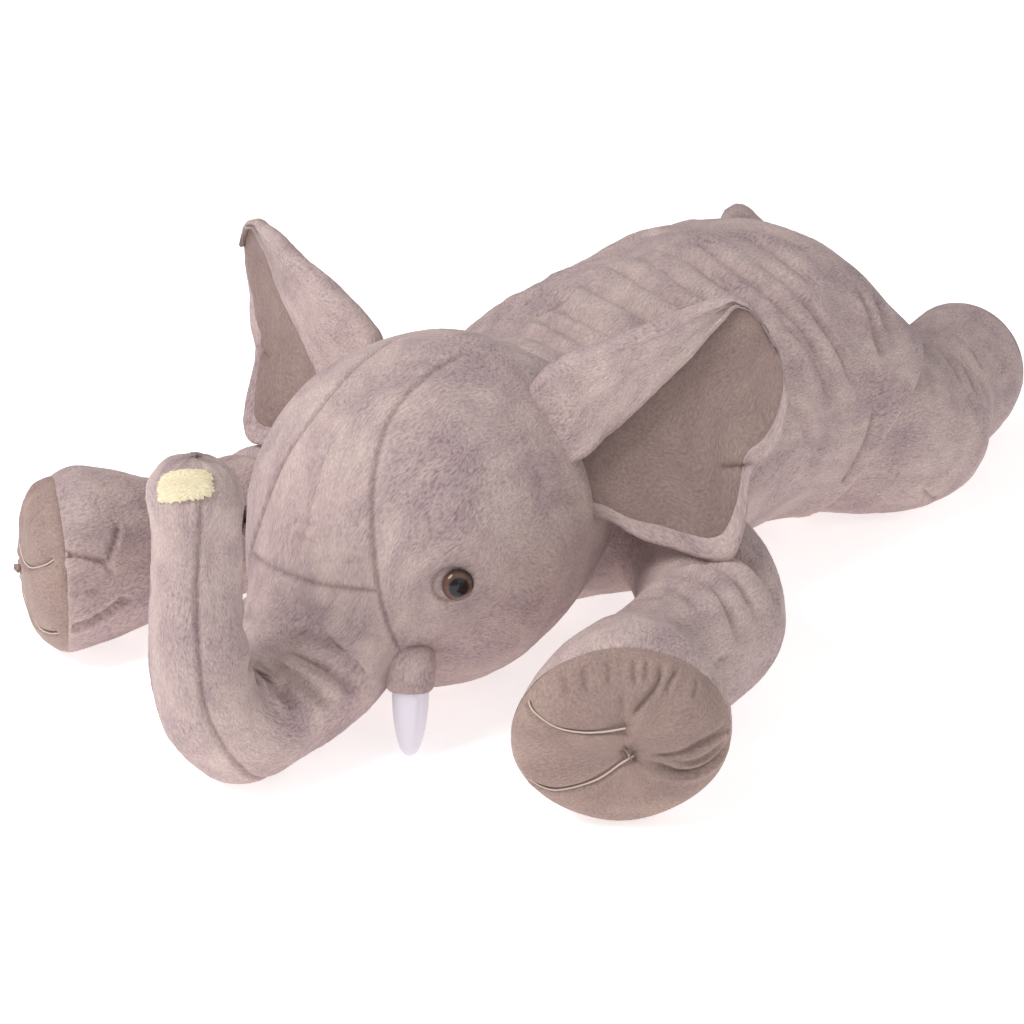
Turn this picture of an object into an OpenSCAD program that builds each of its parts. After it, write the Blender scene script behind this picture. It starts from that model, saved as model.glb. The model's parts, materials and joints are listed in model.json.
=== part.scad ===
// Large plush elephant lying on its belly, head and trunk on the floor, legs spread.
// Millimetres. Up is +Z, the floor is z = 0, the elephant faces -Y, its left side is +X.
// Every soft piece is a cloth cover 4 mm thick over its own stuffing.

/* [Torso] */
// Widest part of the torso
body_w = 344; // [290:1:420]
// Height of the back above the floor
body_h = 287; // [239:1:350]
// Length of the torso from neck rim to rump
body_l = 516; // [430:1:620]

/* [Head] */
// Widest part of the head
head_w = 284; // [250:1:340]
// Height of the head
head_h = 290; // [260:1:330]
// Width of the panel between the forehead seams
forehead_w = 76; // [50:1:100]
// Diameter of the plastic eyes
eye_d = 26; // [18:1:34]

/* [Neck] */
// Radius of the stuffed ball that the head turns on
neck_r = 106; // [88:1:108]

/* [Trunk] */
// Height of the tip of the trunk above the floor
trunk_h = 284; // [240:1:340]
// Thickness of the upright part of the trunk
trunk_d = 74; // [62:1:80]
// Radius of the ball inside the trunk's bend
bend_r = 35; // [28:1:37]

/* [Front legs] */
// Thickness of a front leg half way along
front_leg_d = 115; // [90:1:117]
// Width of a front sole
foot_w = 168; // [130:1:202]
// Height of a front sole
foot_h = 142; // [110:1:171]
// How far a sole bulges
sole_bulge = 34; // [20:1:45]
// How much longer the front legs are
front_leg_more = 0; // [-40:1:60]

/* [Hind legs] */
// Radius of the rounded haunch
haunch_r = 72; // [60:1:72]
// Thickness of a hind leg above the foot
hind_leg_d = 124; // [100:1:130]
// How much longer the hind legs are
hind_leg_more = 0; // [-40:1:60]

/* [Ears] */
// Length of an ear along its root
ear_drop = 195; // [160:1:205]
// How far an ear reaches from its root
ear_reach = 187; // [150:1:220]
// How far back the left ear lies
left_sweep = 30; // [10:1:40]
// How far back the right ear lies
right_sweep = 8; // [0:1:40]

/* [Tusks and tail] */
// Thickness of a tusk at its root
tusk_d = 38; // [28:1:44]
// Length of a tusk below its collar
tusk_l = 52; // [40:1:54]
// Thickness of the tail
tail_d = 32; // [24:1:36]
// Length of the tail
tail_l = 56; // [40:1:70]

/* [Cloth] */
// Thickness of the plush with its backing
cover_t = 4; // [3:0.5:5]
// Gap left between two sewn panels
seam_gap = 0.6; // [0.4:0.1:1]
// Room between a ball and its socket
joint_gap = 2.5; // [2:0.5:4]

/* [Hidden] */
$fn = 64;
plush = [0.74, 0.65, 0.63];
lining = [0.54, 0.46, 0.44];
sole_cloth = [0.62, 0.52, 0.50];
filling = [0.93, 0.93, 0.91];
white_cloth = [0.90, 0.88, 0.90];
cream = [0.92, 0.87, 0.74];
black = [0.05, 0.04, 0.04];
thread = [0.55, 0.46, 0.44];
fill_in = cover_t + 0.6;
deep_in = cover_t + 1.6;
ear_root_r = 8;
bx = body_w / 344;
bz = body_h / 287;
by = body_l / 516;
hx = head_w / 284;
hz = head_h / 290;
tx = trunk_d / 74;
neck = [0, -136, body_h * 0.495];
rim_away = 26;
bend = [0, -512, 50];

// ---- Shared mathematics: a soft shape is a row of oval stations ----

function unit(v) = v / norm(v);

// A station is nine numbers: the oval's centre, its first half axis and its second.
function station(c, a, b) = [c.x, c.y, c.z, a.x, a.y, a.z, b.x, b.y, b.z];

// One point of the smooth line through four stations.
function through(a, b, c, d, t) = 0.5 * (2 * b + (c - a) * t
    + (2 * a - 5 * b + 4 * c - d) * t * t + (3 * b - a - 3 * c + d) * t * t * t);

// The station at place t, counted in stations.
function place(s, t) = let (n = len(s) - 1, i = max(0, min(floor(t), n - 1)))
    through(s[max(i - 1, 0)], s[i], s[i + 1], s[min(i + 2, n)], t - i);

// Rows between two places of a station list.
function rows(s, t0, t1, n) = [for (k = [0:n]) place(s, t0 + (t1 - t0) * k / n)];

// A point of an oval at an angle.
function on(q, f) = [q[0], q[1], q[2]] + [q[3], q[4], q[5]] * cos(f)
    + [q[6], q[7], q[8]] * sin(f);

// The mean radius of an oval.
function mean_r(q) = (norm([q[3], q[4], q[5]]) + norm([q[6], q[7], q[8]])) / 2;

// A closed ring of n points for every row.
function rings(r, n) = [for (q = r) [for (k = [0:n - 1]) on(q, 360 * k / n)]];

// Part of every ring, from angle a[i] to angle b[i], short of both by half a seam gap.
// One more point past each edge gives the cloth its true direction there.
function sector(r, a, b, n) = [for (i = [0:len(r) - 1])
    let (e = min(20, seam_gap * 28.7 / mean_r(r[i])))
    [for (k = [-1:n + 1]) on(r[i], a[i] + e + (b[i] - a[i] - 2 * e) * k / n)]];

// A sector's grid without the extra points.
function trimmed(g) = [for (r = g) [for (j = [1:len(r) - 2]) r[j]]];

// Some of the rows of a grid, and a ring moved by a vector.
function part_of(g, a, b) = [for (i = [a:b]) g[i]];
function shifted(r, v) = [for (p = r) p + v];

// The outward direction at a grid point.
function outward(g, i, j, whole) = let (m = len(g) - 1, n = len(g[0]),
    e = g[min(i + 1, m)][j] - g[max(i - 1, 0)][j],
    f = whole ? g[i][(j + 1) % n] - g[i][(j + n - 1) % n]
        : g[i][min(j + 1, n - 1)] - g[i][max(j - 1, 0)])
    unit(cross(f, e));

// The same grid moved along its outward directions.
function moved(g, d, whole) = [for (i = [0:len(g) - 1])
    [for (j = [0:len(g[0]) - 1]) g[i][j] + d * outward(g, i, j, whole)]];

// No point of the grid lower than z.
function floored(g, z) = [for (r = g) [for (p = r) [p.x, p.y, max(p.z, z)]]];

function flat(g) = [for (r = g) each r];

function middle(r) = [for (k = [0:2]) let (v = [for (p = r) p[k]])
    (v * [for (p = r) 1]) / len(r)];

// A solid from closed rings, with flat ends.
module solid(g) {
    m = len(g);
    n = len(g[0]);
    pts = concat(flat(g), [middle(g[0]), middle(g[m - 1])]);
    side = [for (i = [0:m - 2]) for (j = [0:n - 1])
        let (a = i * n + j, b = i * n + (j + 1) % n)
        each [[a, a + n, b + n], [a, b + n, b]]];
    first = [for (j = [0:n - 1]) [j, (j + 1) % n, m * n]];
    last = [for (j = [0:n - 1]) [(m - 1) * n + (j + 1) % n, (m - 1) * n + j, m * n + 1]];
    polyhedron(points = pts, faces = concat(side, first, last), convexity = 6);
}

// A sheet of cloth between an outer and an inner grid. The ends can be closed when whole.
module cloth(g, h, whole, shut0 = false, shut1 = false) {
    m = len(g);
    n = len(g[0]);
    w = m * n;
    last = whole ? n - 1 : n - 2;
    pts = concat(flat(g), flat(h), [middle(g[0]), middle(h[0]),
        middle(g[m - 1]), middle(h[m - 1])]);
    faces = [for (i = [0:m - 2]) for (j = [0:last])
        let (a = i * n + j, b = i * n + (j + 1) % n)
        each [[a, a + n, b + n], [a, b + n, b],
            [w + a, w + b + n, w + a + n], [w + a, w + b, w + b + n]]];
    end0 = [for (j = [0:last]) let (a = j, b = (j + 1) % n)
        each shut0 ? [[a, b, 2 * w], [w + b, w + a, 2 * w + 1]]
            : [[a, b, w + b], [a, w + b, w + a]]];
    end1 = [for (j = [0:last]) let (a = (m - 1) * n + j, b = (m - 1) * n + (j + 1) % n)
        each shut1 ? [[b, a, 2 * w + 2], [w + a, w + b, 2 * w + 3]]
            : [[b, a, w + a], [b, w + a, w + b]]];
    sides = whole ? [] : [for (i = [0:m - 2])
        let (a = i * n, b = i * n + n - 1)
        each [[a + n, a, w + a], [a + n, w + a, w + a + n],
            [b, b + n, w + b + n], [b, w + b + n, w + b]]];
    polyhedron(points = pts, faces = concat(faces, end0, end1, sides), convexity = 8);
}

// A cloth panel that lies in the skin of a shape, from the sector of that skin.
module panel(g, low = -1) {
    cloth(floored(trimmed(g), low), floored(trimmed(moved(g, -cover_t, false)), low + cover_t),
        false);
}

// A tube of cloth all the way round, which can be closed at either end.
module tube(g, t = cover_t, low = 0, shut0 = false, shut1 = false) {
    cloth(floored(g, low), floored(moved(g, -t, true), low + t), true, shut0, shut1);
}

// A round bar between two points.
module bar(a, b, r) {
    d = b - a;
    translate(a) rotate([0, acos(d.z / norm(d)), atan2(d.y, d.x)])
        cylinder(r = r, h = norm(d));
}

// Everything below the floor.
module below() {
    translate([-700, -900, -100]) cube([1400, 1800, 100]);
}

// ---- Torso ----

// Torso profile behind the neck rim: place along the body, top, bottom and half width.
torso_line = [[-60, 272, 8, 138], [0, 281, -1.5, 152],
    [80, 287, -3, 163], [160, 287, -3, 170], [240, 281, -2, 172], [310, 256, 8, 152],
    [360, 223, 10, 125], [392, 172, 26, 75], [402, 137, 52, 40], [405, 115, 74, 18],
    [406, 97, 92, 2.6]];
torso_y0 = neck.y + rim_away;
torso_s = concat([station([0, torso_y0, neck.z - 4], [0, 0, neck_r + 14], [neck_r + 16, 0, 0])],
    [for (p = torso_line) let (t = p[1] * bz, b = p[2] > 0 ? p[2] * bz : p[2])
        station([0, torso_y0 + (p[0] - torso_y0) * by, (t + b) / 2],
            [0, 0, (t - b) / 2], [p[3] * bx, 0, 0])]);
torso_r = rows(torso_s, 0, 11, 11);
back_seam = [for (q = torso_r) 0];
left_seam = [for (q = torso_r) 128];
right_seam = [for (q = torso_r) 232];
back_end = [for (q = torso_r) 360];

shoulder_r = 52;
// The shoulder ball keeps clear of the neck ball, so it moves out when the two would meet.
neck_reach = pow(neck_r + shoulder_r + 1.5, 2) - pow(neck.y + 68, 2) - pow(neck.z - 70, 2);
shoulder = [max(125 * bx, sqrt(max(0, neck_reach))), -68, 70];
hip = [130 * bx, torso_y0 + (315 - torso_y0) * by, haunch_r];
// The hip's room follows the thicker of the haunch and the leg below it.
haunch_room = max(haunch_r, hind_leg_d / 2 + 10);

// The room that the four legs, the neck ball and the tail need in the torso.
module leg_room() {
    for (s = [-1, 1]) scale([s, 1, 1]) {
        translate(shoulder) sphere(r = shoulder_r + joint_gap + 3.5);
        translate(hip) sphere(r = haunch_room + joint_gap + 0.5);
        translate([hip.x, hip.y, haunch_room]) rotate([-90, 0, 6]) cylinder(r = haunch_room - 3, h = 220);
    }
}

module tail_room() {
    translate(tail_at) {
        sphere(r = tail_d / 2 + joint_gap + 0.5);
        for (a = [-17, 0, 17]) rotate(a, tail_axis)
            bar([0, 0, 0], tail_way * (tail_l + 20), tail_d / 2 + joint_gap);
    }
}

module torso_cloth(a, b, n) {
    difference() {
        panel(sector(torso_r, a, b, n));
        below();
        leg_room();
        tail_room();
    }
}

module torso_left_panel() { color(plush) torso_cloth(back_seam, left_seam, 10); }
module torso_right_panel() { color(plush) torso_cloth(right_seam, back_end, 10); }
module torso_belly_panel() { color(plush) torso_cloth(left_seam, right_seam, 8); }

module torso_stuffing() {
    color(filling) difference() {
        solid(floored(moved(rings(torso_r, 28), -deep_in, true), cover_t));
        translate(neck) sphere(r = neck_r + joint_gap);
        leg_room();
        tail_room();
    }
}

// ---- Neck ----

// A band of the ball's skin, seen between the torso's rim and the head's.
module neck_cover() {
    color(plush) translate(neck) rotate([90, 0, 0]) rotate_extrude() polygon(concat(
        [for (a = [-32:4:32]) neck_r * [cos(a), sin(a)]],
        [for (a = [32:-4:-32]) (neck_r - cover_t) * [cos(a), sin(a)]]));
}

module neck_stuffing() {
    color(filling) translate(neck) sphere(r = neck_r - fill_in);
}

// ---- Head and trunk, one line of stations from the nape to the tip of the trunk ----

// Head profile in front of the neck rim: upper point, lower point and half width.
head_line = [[-200, 285, -200, 11, 132],
    [-240, 293, -240, 3, 141], [-282, 292, -278, 3, 142], [-322, 282, -312, 10, 133],
    [-358, 262, -340, 21, 117], [-388, 235, -360, 29, 99], [-408, 198, -373, 31, 84],
    [-424, 158, -382, 28, 73], [-447, 126, -396, 17, 64], [-466, 108, -430, 5, 57],
    [-478, 98, -464, 1, 51], [-485, 93, -497, 0.5, 47]];
tip_line = [[-503, 100, -548, 26, 42], [-507, 110, -567, 47, 41], [-509, 122, -578, 78, 40],
    [-510, 140, -582, 118, 38], [-509, 165, -582, 155, 37], [-508, 195, -579, 192, 36],
    [-507, 225, -576, 228, 35.5], [-507, 250, -573, 255, 34.5], [-511, 266, -568, 270, 29],
    [-519, 277, -559, 280, 20], [-530, 283, -548, 284, 9], [-538, 284.4, -541, 284.4, 1.6]];

// The head's height and width fade out towards the trunk, which keeps its own.
head_s = concat([station([0, neck.y - rim_away, neck.z + 6],
    [0, 0, neck_r + 11.6], [-neck_r - 8, 0, 0])],
    [for (i = [0:len(head_line) - 1]) let (p = head_line[i],
        f = max(0, min(1, (10 - i) / 5)), kx = 1 + (hx - 1) * f, kz = 1 + (hz - 1) * f)
        station([0, (p[0] + p[2]) / 2, (p[1] * kz + p[3]) / 2],
            [0, (p[0] - p[2]) / 2, (p[1] * kz - p[3]) / 2], [-p[4] * kx, 0, 0])]);
// The trunk is slid along its own line, so its thickness and height can change.
tip_s = [for (p = tip_line) let (z = (p[1] + p[3]) / 2, k = max(0, z - 130) / 154,
    up = k * (trunk_h - 284), f = max(0, min(1, (z - 60) / 60)), kt = 1 + (tx - 1) * f)
    station([0, (p[0] + p[2]) / 2, z + up],
        [0, (p[0] - p[2]) / 2, (p[1] - p[3]) / 2] * kt, [-p[4] * kt, 0, 0])];
head_r = rows(head_s, 0, 8, 8);
base_r = rows(head_s, 8.03, 12, 5);
head_all = concat(head_r, part_of(base_r, 1, 5));
tip_r = rows(tip_s, 0, 11, 11);

// The forehead panel's edge angle at each row: even on the head, wider at the trunk.
brow = [for (i = [0:8]) let (w = norm([head_r[i][6], head_r[i][7], head_r[i][8]]))
    i < 7 ? asin(forehead_w / 2 / w) : asin(forehead_w / 2 / w) + (i - 6) * 11];
chin = [for (i = [0:8]) 122];

eye_at = on(place(head_s, 5.45), 274);
eye_way = unit([0.83, -0.55, 0.06]);
tusk_at = [78 * hx, -381, 62];
tusk_way = unit([0.14, -0.2, -1]);
ear_a = [78 * hx, -212, 270 * hz];
ear_b = [142 * hx, -212, 155 * hz];
ear_u = unit(ear_b - ear_a);

// Stands a shape made along +Z at a point, pointing a given way.
module aim(p, d) {
    translate(p) rotate([0, acos(d.z), atan2(d.y, d.x)]) children();
}

// The room that the eyes and ear roots need in the head.
module eye_room(r, deep) {
    for (s = [-1, 1]) scale([s, 1, 1]) aim(eye_at, eye_way)
        translate([0, 0, -deep]) cylinder(r = r, h = deep + 12);
}

module ear_room() {
    for (s = [-1, 1]) scale([s, 1, 1])
        bar(ear_a - ear_u * 12, ear_b + ear_u * 8, ear_root_r + 6.5);
}

module head_cloth(a, b, n) {
    difference() {
        panel(sector(head_r, a, b, n));
        below();
        ear_room();
        eye_room(3, 14);
    }
}

module head_left_panel() {
    color(plush) head_cloth([for (c = chin) 360 - c], [for (a = brow) 360 - a], 8);
}
module head_right_panel() { color(plush) head_cloth(brow, chin, 8); }
module forehead_panel() {
    color(plush) panel(sector(head_r, [for (a = brow) -a], brow, 4));
}
module chin_panel() {
    color(plush) panel(sector(head_r, chin, [for (c = chin) 360 - c], 6), low = 0);
}

module trunk_base_cover() {
    color(plush) tube(rings(base_r, 18));
}

module head_stuffing() {
    color(filling) difference() {
        solid(floored(moved(rings(head_all, 22), -deep_in - 1, true), deep_in + 1));
        translate(neck) sphere(r = neck_r + joint_gap);
        translate(bend) sphere(r = bend_r + joint_gap);
        ear_room();
        eye_room(12.5, 16);
    }
}

// Domed safety eye with its stem through the cloth.
module safety_eye() {
    r = eye_d / 2;
    rotate_extrude() polygon(concat([[0, 0.6], [0, -16], [2.5, -16], [2.5, 0.6]],
        [[r, 0.6], [r, 2]], [for (a = [10:10:80]) [r * cos(a), 2 + r * 0.62 * sin(a)]],
        [[0, 2 + r * 0.62]]));
}

// Locking washer pressed on the stem, inside the cloth.
module eye_washer() {
    translate([0, 0, -9]) difference() {
        union() {
            cylinder(r = 11, h = 1.6);
            translate([0, 0, -3]) cylinder(r = 5, h = 3);
        }
        translate([0, 0, -4]) cylinder(r = 2.6, h = 8);
    }
}

module eye_left() { color(black) aim(eye_at, eye_way) safety_eye(); }
module eye_right() { color(black) scale([-1, 1, 1]) aim(eye_at, eye_way) safety_eye(); }
module eye_washer_left() { color(white_cloth) aim(eye_at, eye_way) eye_washer(); }
module eye_washer_right() {
    color(white_cloth) scale([-1, 1, 1]) aim(eye_at, eye_way) eye_washer();
}

// The skin of the head and trunk root, a little larger, to trim what is sewn on to it.
module head_skin() { solid(moved(rings(head_all, 22), 1.8, true)); }

module tusk_shape() {
    r = tusk_d / 2;
    rotate_extrude() polygon(concat([[0, -26], [r, -26], [r, 0]],
        [for (a = [0:10:80]) [(r - 4) * cos(a) + 3 * (1 - a / 90), tusk_l * (0.35 + 0.65 * sin(a))]],
        [[0, tusk_l]]));
}

module collar_shape() {
    r = tusk_d / 2;
    rotate_extrude() polygon([[r + 0.5, -24], [r + 8, -24], [r + 8, 2], [r + 6.5, 5],
        [r + 3.5, 6.5], [r + 1, 5], [r + 0.5, 2]]);
}

module tusk() {
    difference() {
        aim(tusk_at, tusk_way) tusk_shape();
        head_skin();
        below();
    }
}

module tusk_left() { color(white_cloth) tusk(); }
module tusk_right() { color(white_cloth) scale([-1, 1, 1]) tusk(); }
module tusk_collar_left() {
    color(plush) difference() { aim(tusk_at, tusk_way) collar_shape(); head_skin(); }
}
module tusk_collar_right() {
    color(plush) scale([-1, 1, 1]) difference() { aim(tusk_at, tusk_way) collar_shape(); head_skin(); }
}

// ---- Upright end of the trunk ----

bend_ball_r = [for (a = [8, 35, 65, 90]) let (d = unit([0, -0.70, 0.71]))
    station(bend - d * bend_r * cos(a), [0, 0.71, 0.70] * bend_r * sin(a), [-bend_r * sin(a), 0, 0])];
tip_fill = concat(moved(rings(bend_ball_r, 18), -0.1, true), moved(rings(tip_r, 18), -deep_in, true));

module trunk_tip_panel() {
    color(plush) panel(sector(tip_r, [for (q = tip_r) -128], [for (q = tip_r) 128], 12));
}
module trunk_under_panel() {
    color(plush) panel(sector(tip_r, [for (q = tip_r) 128], [for (q = tip_r) 232], 7));
}
module trunk_tip_stuffing() { color(filling) solid(tip_fill); }
module nostril_patch() {
    r = rows(tip_s, 6.6, 8.2, 4);
    g = sector(r, [for (q = r) 144], [for (q = r) 216], 8);
    color(cream) cloth(trimmed(moved(g, 1.6, false)), trimmed(moved(g, 0.5, false)), false);
}

// ---- Ears, drawn flat: x along the root, y outwards, z to the front ----

ear_points = [[2, 8], [0, 60], [1, 120], [3, 160], [8, 178], [24, 185], [52, 187], [80, 184],
    [103, 175], [122, 159], [131, 146], [134, 134], [140, 127], [152, 121], [168, 112],
    [184, 100], [193, 90], [193, 78], [186, 67], [168, 46], [148, 22], [130, 8]];
ear_outline = [for (p = ear_points) [p[0] * ear_drop / 195, p[1] * ear_reach / 187]];
ear_fold = 70 * ear_drop / 195;

module ear_place(sweep) {
    v0 = [-ear_u.z, 0, ear_u.x];
    v = v0 * cos(sweep) + [0, sin(sweep), 0];
    w = cross(ear_u, v);
    multmatrix([[ear_u.x, v.x, w.x, ear_a.x], [ear_u.y, v.y, w.y, ear_a.y],
        [ear_u.z, v.z, w.z, ear_a.z], [0, 0, 0, 1]]) children();
}

// Plush back with its rolled rim, the rolled ridge, the flap folded forwards and the root.
module ear_back() {
    difference() {
        translate([0, 0, -6]) linear_extrude(height = 9.6) polygon(ear_outline);
        translate([0, 0, -2]) linear_extrude(height = 9) offset(delta = -7) polygon(ear_outline);
    }
    bar([3, 0, 0], [126 * ear_drop / 195, 0, 0], ear_root_r);
    translate([8, 0, -6]) cube([112 * ear_drop / 195, 14, 9.6]);
    bar([-1, 14, 1.5], [3, 170 * ear_reach / 187, 1.5], 7.5);
    translate([0, 0, 5]) linear_extrude(height = 4)
        polygon([[0, 14], [4, 176 * ear_reach / 187], [11, 172 * ear_reach / 187],
            [ear_fold, 20], [ear_fold - 4, 14]]);
}

module ear_inside(z, t, inset) {
    difference() {
        translate([0, 0, z]) linear_extrude(height = t) offset(delta = -inset) polygon(ear_outline);
        bar([-1, 10, 1.5], [3, 176 * ear_reach / 187, 1.5], 8);
        translate([0, -1, -8]) cube([140, 16, 16]);
    }
}

module ear_left_back() { color(plush) ear_place(left_sweep) ear_back(); }
module ear_left_wadding() { color(filling) ear_place(left_sweep) ear_inside(-1.6, 3.2, 7.6); }
module ear_left_lining() { color(lining) ear_place(left_sweep) ear_inside(2, 1.8, 7.6); }
module ear_right_back() { color(plush) scale([-1, 1, 1]) ear_place(right_sweep) ear_back(); }
module ear_right_wadding() {
    color(filling) scale([-1, 1, 1]) ear_place(right_sweep) ear_inside(-1.6, 3.2, 7.6);
}
module ear_right_lining() {
    color(lining) scale([-1, 1, 1]) ear_place(right_sweep) ear_inside(2, 1.8, 7.6);
}

// ---- Legs: stations lie in upright planes turned about Z ----

// yaw is the way the leg points, measured from -Y towards +X.
function leg_station(c, yaw, w, h) = station(c, [0, 0, h], [-cos(yaw), -sin(yaw), 0] * w);
function way(yaw) = [sin(yaw), -cos(yaw), 0];
function ball_rows(c, yaw, r) = [for (a = [5, 32, 61, 90])
    leg_station(c - way(yaw) * r * cos(a), yaw, r * sin(a), r * sin(a))];

fr = front_leg_d / 2;
fl = front_leg_more;
foot_way = 40;
foot_z = foot_h / 2 + 1;
front_rim = [272 + fl * 0.31, -384 - fl * 0.95, foot_z];
front_s = concat(ball_rows(shoulder, 30, shoulder_r), [
    leg_station(shoulder + way(30) * 20, 30, shoulder_r - 4.5, shoulder_r - 4.5),
    leg_station(shoulder + way(30) * 45, 29, shoulder_r - 5.5, shoulder_r - 5.5),
    leg_station([180, -144, 70] + way(20) * fl * 0.1, 28, fr - 5, fr - 5),
    leg_station([204, -180, 70] + way(18) * fl * 0.3, 23, fr - 1, fr - 1),
    leg_station([226, -230, 70] + way(18) * fl * 0.5, 18, fr + 1, fr),
    leg_station([242, -286, 70] + way(18) * fl * 0.75, 18, fr + 2, fr + 2),
    leg_station([254, -331, foot_z] + way(18) * fl, 22, foot_w * 0.41, foot_h * 0.5),
    leg_station([264, -361, foot_z + 4] + way(18) * fl, 31, foot_w * 0.47, foot_h * 0.535),
    leg_station(front_rim, foot_way, foot_w / 2, foot_h / 2)]);

hr = hind_leg_d / 2;
hl = hind_leg_more;
hind_way = 188;
hind_rim = [94 * bx - hl * 0.1, 513 + hl + (hip.y - 315), 71];
hind_s = concat(ball_rows(hip, 183, haunch_r), [
    leg_station(hip + way(183) * 35, 183, haunch_r - 9, haunch_r - 9),
    leg_station(hip + way(183) * 66, 185, hr, hr),
    leg_station([121 * bx, hip.y + 92 + hl * 0.3, 69], 190, hr + 1, hr + 3),
    leg_station([111 * bx, hip.y + 125 + hl * 0.6, 70], 194, hr + 3, hr + 5),
    leg_station([101 * bx, hip.y + 163 + hl * 0.9, 71], 192, hr + 5, hr + 7),
    leg_station(hind_rim, hind_way, hr + 4, hr + 7)]);

// Stations of a bulging sole, from its seam to its middle.
function sole_rows(c, yaw, w, h, b) = [for (k = [[0, 1], [0.3, 0.96], [0.6, 0.82],
    [0.84, 0.58], [0.97, 0.27], [1, 0.04]])
    leg_station(c + way(yaw) * b * k[0], yaw, w * k[1], h * k[1])];
front_sole_r = sole_rows(front_rim, foot_way, foot_w / 2, foot_h / 2, sole_bulge);
hind_sole_r = sole_rows(hind_rim, hind_way, hr + 4, hr + 7, sole_bulge);

// The whole skin of a leg, from the ball at its root to the middle of its sole.
function leg_skin(s, r) = rings(concat(s, part_of(r, 1, 5)), 18);

module leg_cover(s, r) {
    g = leg_skin(s, r);
    h = moved(g, -cover_t, true);
    n = len(s) - 1;
    cloth(floored(part_of(g, 0, n), 0), floored(part_of(h, 0, n), cover_t), true, true);
}

module leg_stuffing(s, r) {
    solid(floored(moved(leg_skin(s, r), -fill_in, true), fill_in));
}

// The sole starts one seam gap past the rim of the cover.
module sole(s, r, yaw) {
    g = leg_skin(s, r);
    h = moved(g, -cover_t, true);
    n = len(s) - 1;
    m = len(g) - 1;
    away = way(yaw) * seam_gap;
    cloth(floored(concat([shifted(g[n], away)], part_of(g, n + 1, m)), 0),
        floored(concat([shifted(h[n], away)], part_of(h, n + 1, m)), cover_t),
        true, false, true);
}

// Two tension threads pulled across the sole, which draw it in to make three toes.
// Each starts at the sole's outer edge, and x and z are shares of the sole's half size.
function thread_point(x0, z0, slope, t) = let (x = x0 + 1.25 * t, z = z0 + slope * t,
    k = norm([x, z]), f = atan2(x, z))
    on(place(front_sole_r, 5 - 5 * pow(min(0.99, k), 1.6)), f) + way(foot_way) * 2.8;

module toe_threads() {
    for (q = [[-0.9, 0.26, -0.32], [-0.88, -0.02, -0.12]]) {
        p = [for (i = [-1:11]) thread_point(q[0], q[1], q[2], i / 10)];
        solid(rings([for (i = [1:11]) let (d = unit(p[i + 1] - p[i - 1]),
            a = unit(cross(d, way(foot_way))), b = cross(d, a)) station(p[i], a, b)], 8));
    }
}

module front_left_cover() { color(plush) leg_cover(front_s, front_sole_r); }
module front_left_sole() { color(sole_cloth) sole(front_s, front_sole_r, foot_way); }
module front_left_stuffing() { color(filling) leg_stuffing(front_s, front_sole_r); }
module front_left_threads() { color(thread) toe_threads(); }
module front_right_cover() { color(plush) scale([-1, 1, 1]) leg_cover(front_s, front_sole_r); }
module front_right_sole() { color(sole_cloth) scale([-1, 1, 1]) sole(front_s, front_sole_r, foot_way); }
module front_right_stuffing() {
    color(filling) scale([-1, 1, 1]) leg_stuffing(front_s, front_sole_r);
}
module front_right_threads() { color(thread) scale([-1, 1, 1]) toe_threads(); }
module hind_left_cover() { color(plush) leg_cover(hind_s, hind_sole_r); }
module hind_left_sole() { color(sole_cloth) sole(hind_s, hind_sole_r, hind_way); }
module hind_left_stuffing() { color(filling) leg_stuffing(hind_s, hind_sole_r); }
module hind_right_cover() { color(plush) scale([-1, 1, 1]) leg_cover(hind_s, hind_sole_r); }
module hind_right_sole() { color(sole_cloth) scale([-1, 1, 1]) sole(hind_s, hind_sole_r, hind_way); }
module hind_right_stuffing() {
    color(filling) scale([-1, 1, 1]) leg_stuffing(hind_s, hind_sole_r);
}

// ---- Tail ----

tail_at = [-15, torso_y0 + (334 - torso_y0) * by, 237 * bz];
tail_way = unit([-0.74, -0.28, 0.61]);
tail_axis = unit([0, 0.55, 0.83]);
tail_a = unit([0, 0, 1] - tail_way * tail_way.z);
tail_b = cross(tail_way, tail_a);
tail_s = [for (k = [[-0.99, 0.1], [-0.85, 0.53], [-0.5, 0.87], [0, 1]])
    station(tail_at + tail_way * tail_d / 2 * k[0], tail_a * tail_d / 2 * k[1],
        tail_b * tail_d / 2 * k[1])];
tail_e = [for (k = [[0.5, 0.94], [0.78, 0.9], [0.92, 0.72], [0.98, 0.42], [1, 0.1]])
    station(tail_at + tail_way * tail_l * k[0], tail_a * tail_d / 2 * k[1],
        tail_b * tail_d / 2 * k[1])];

module tail_cover() {
    color(plush) tube(rings(concat(tail_s, tail_e), 14), t = 3, shut1 = true);
}
module tail_stuffing() {
    color(filling) solid(moved(rings(concat(tail_s, tail_e), 14), -3.5, true));
}

// ---- Drawing ----

torso_left_panel();
torso_right_panel();
torso_belly_panel();
torso_stuffing();
neck_cover();
neck_stuffing();
head_left_panel();
head_right_panel();
forehead_panel();
chin_panel();
trunk_base_cover();
head_stuffing();
eye_left();
eye_right();
eye_washer_left();
eye_washer_right();
tusk_left();
tusk_right();
tusk_collar_left();
tusk_collar_right();
trunk_tip_panel();
trunk_under_panel();
trunk_tip_stuffing();
nostril_patch();
ear_left_back();
ear_left_wadding();
ear_left_lining();
ear_right_back();
ear_right_wadding();
ear_right_lining();
front_left_cover();
front_left_sole();
front_left_stuffing();
front_left_threads();
front_right_cover();
front_right_sole();
front_right_stuffing();
front_right_threads();
hind_left_cover();
hind_left_sole();
hind_left_stuffing();
hind_right_cover();
hind_right_sole();
hind_right_stuffing();
tail_cover();
tail_stuffing();
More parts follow.
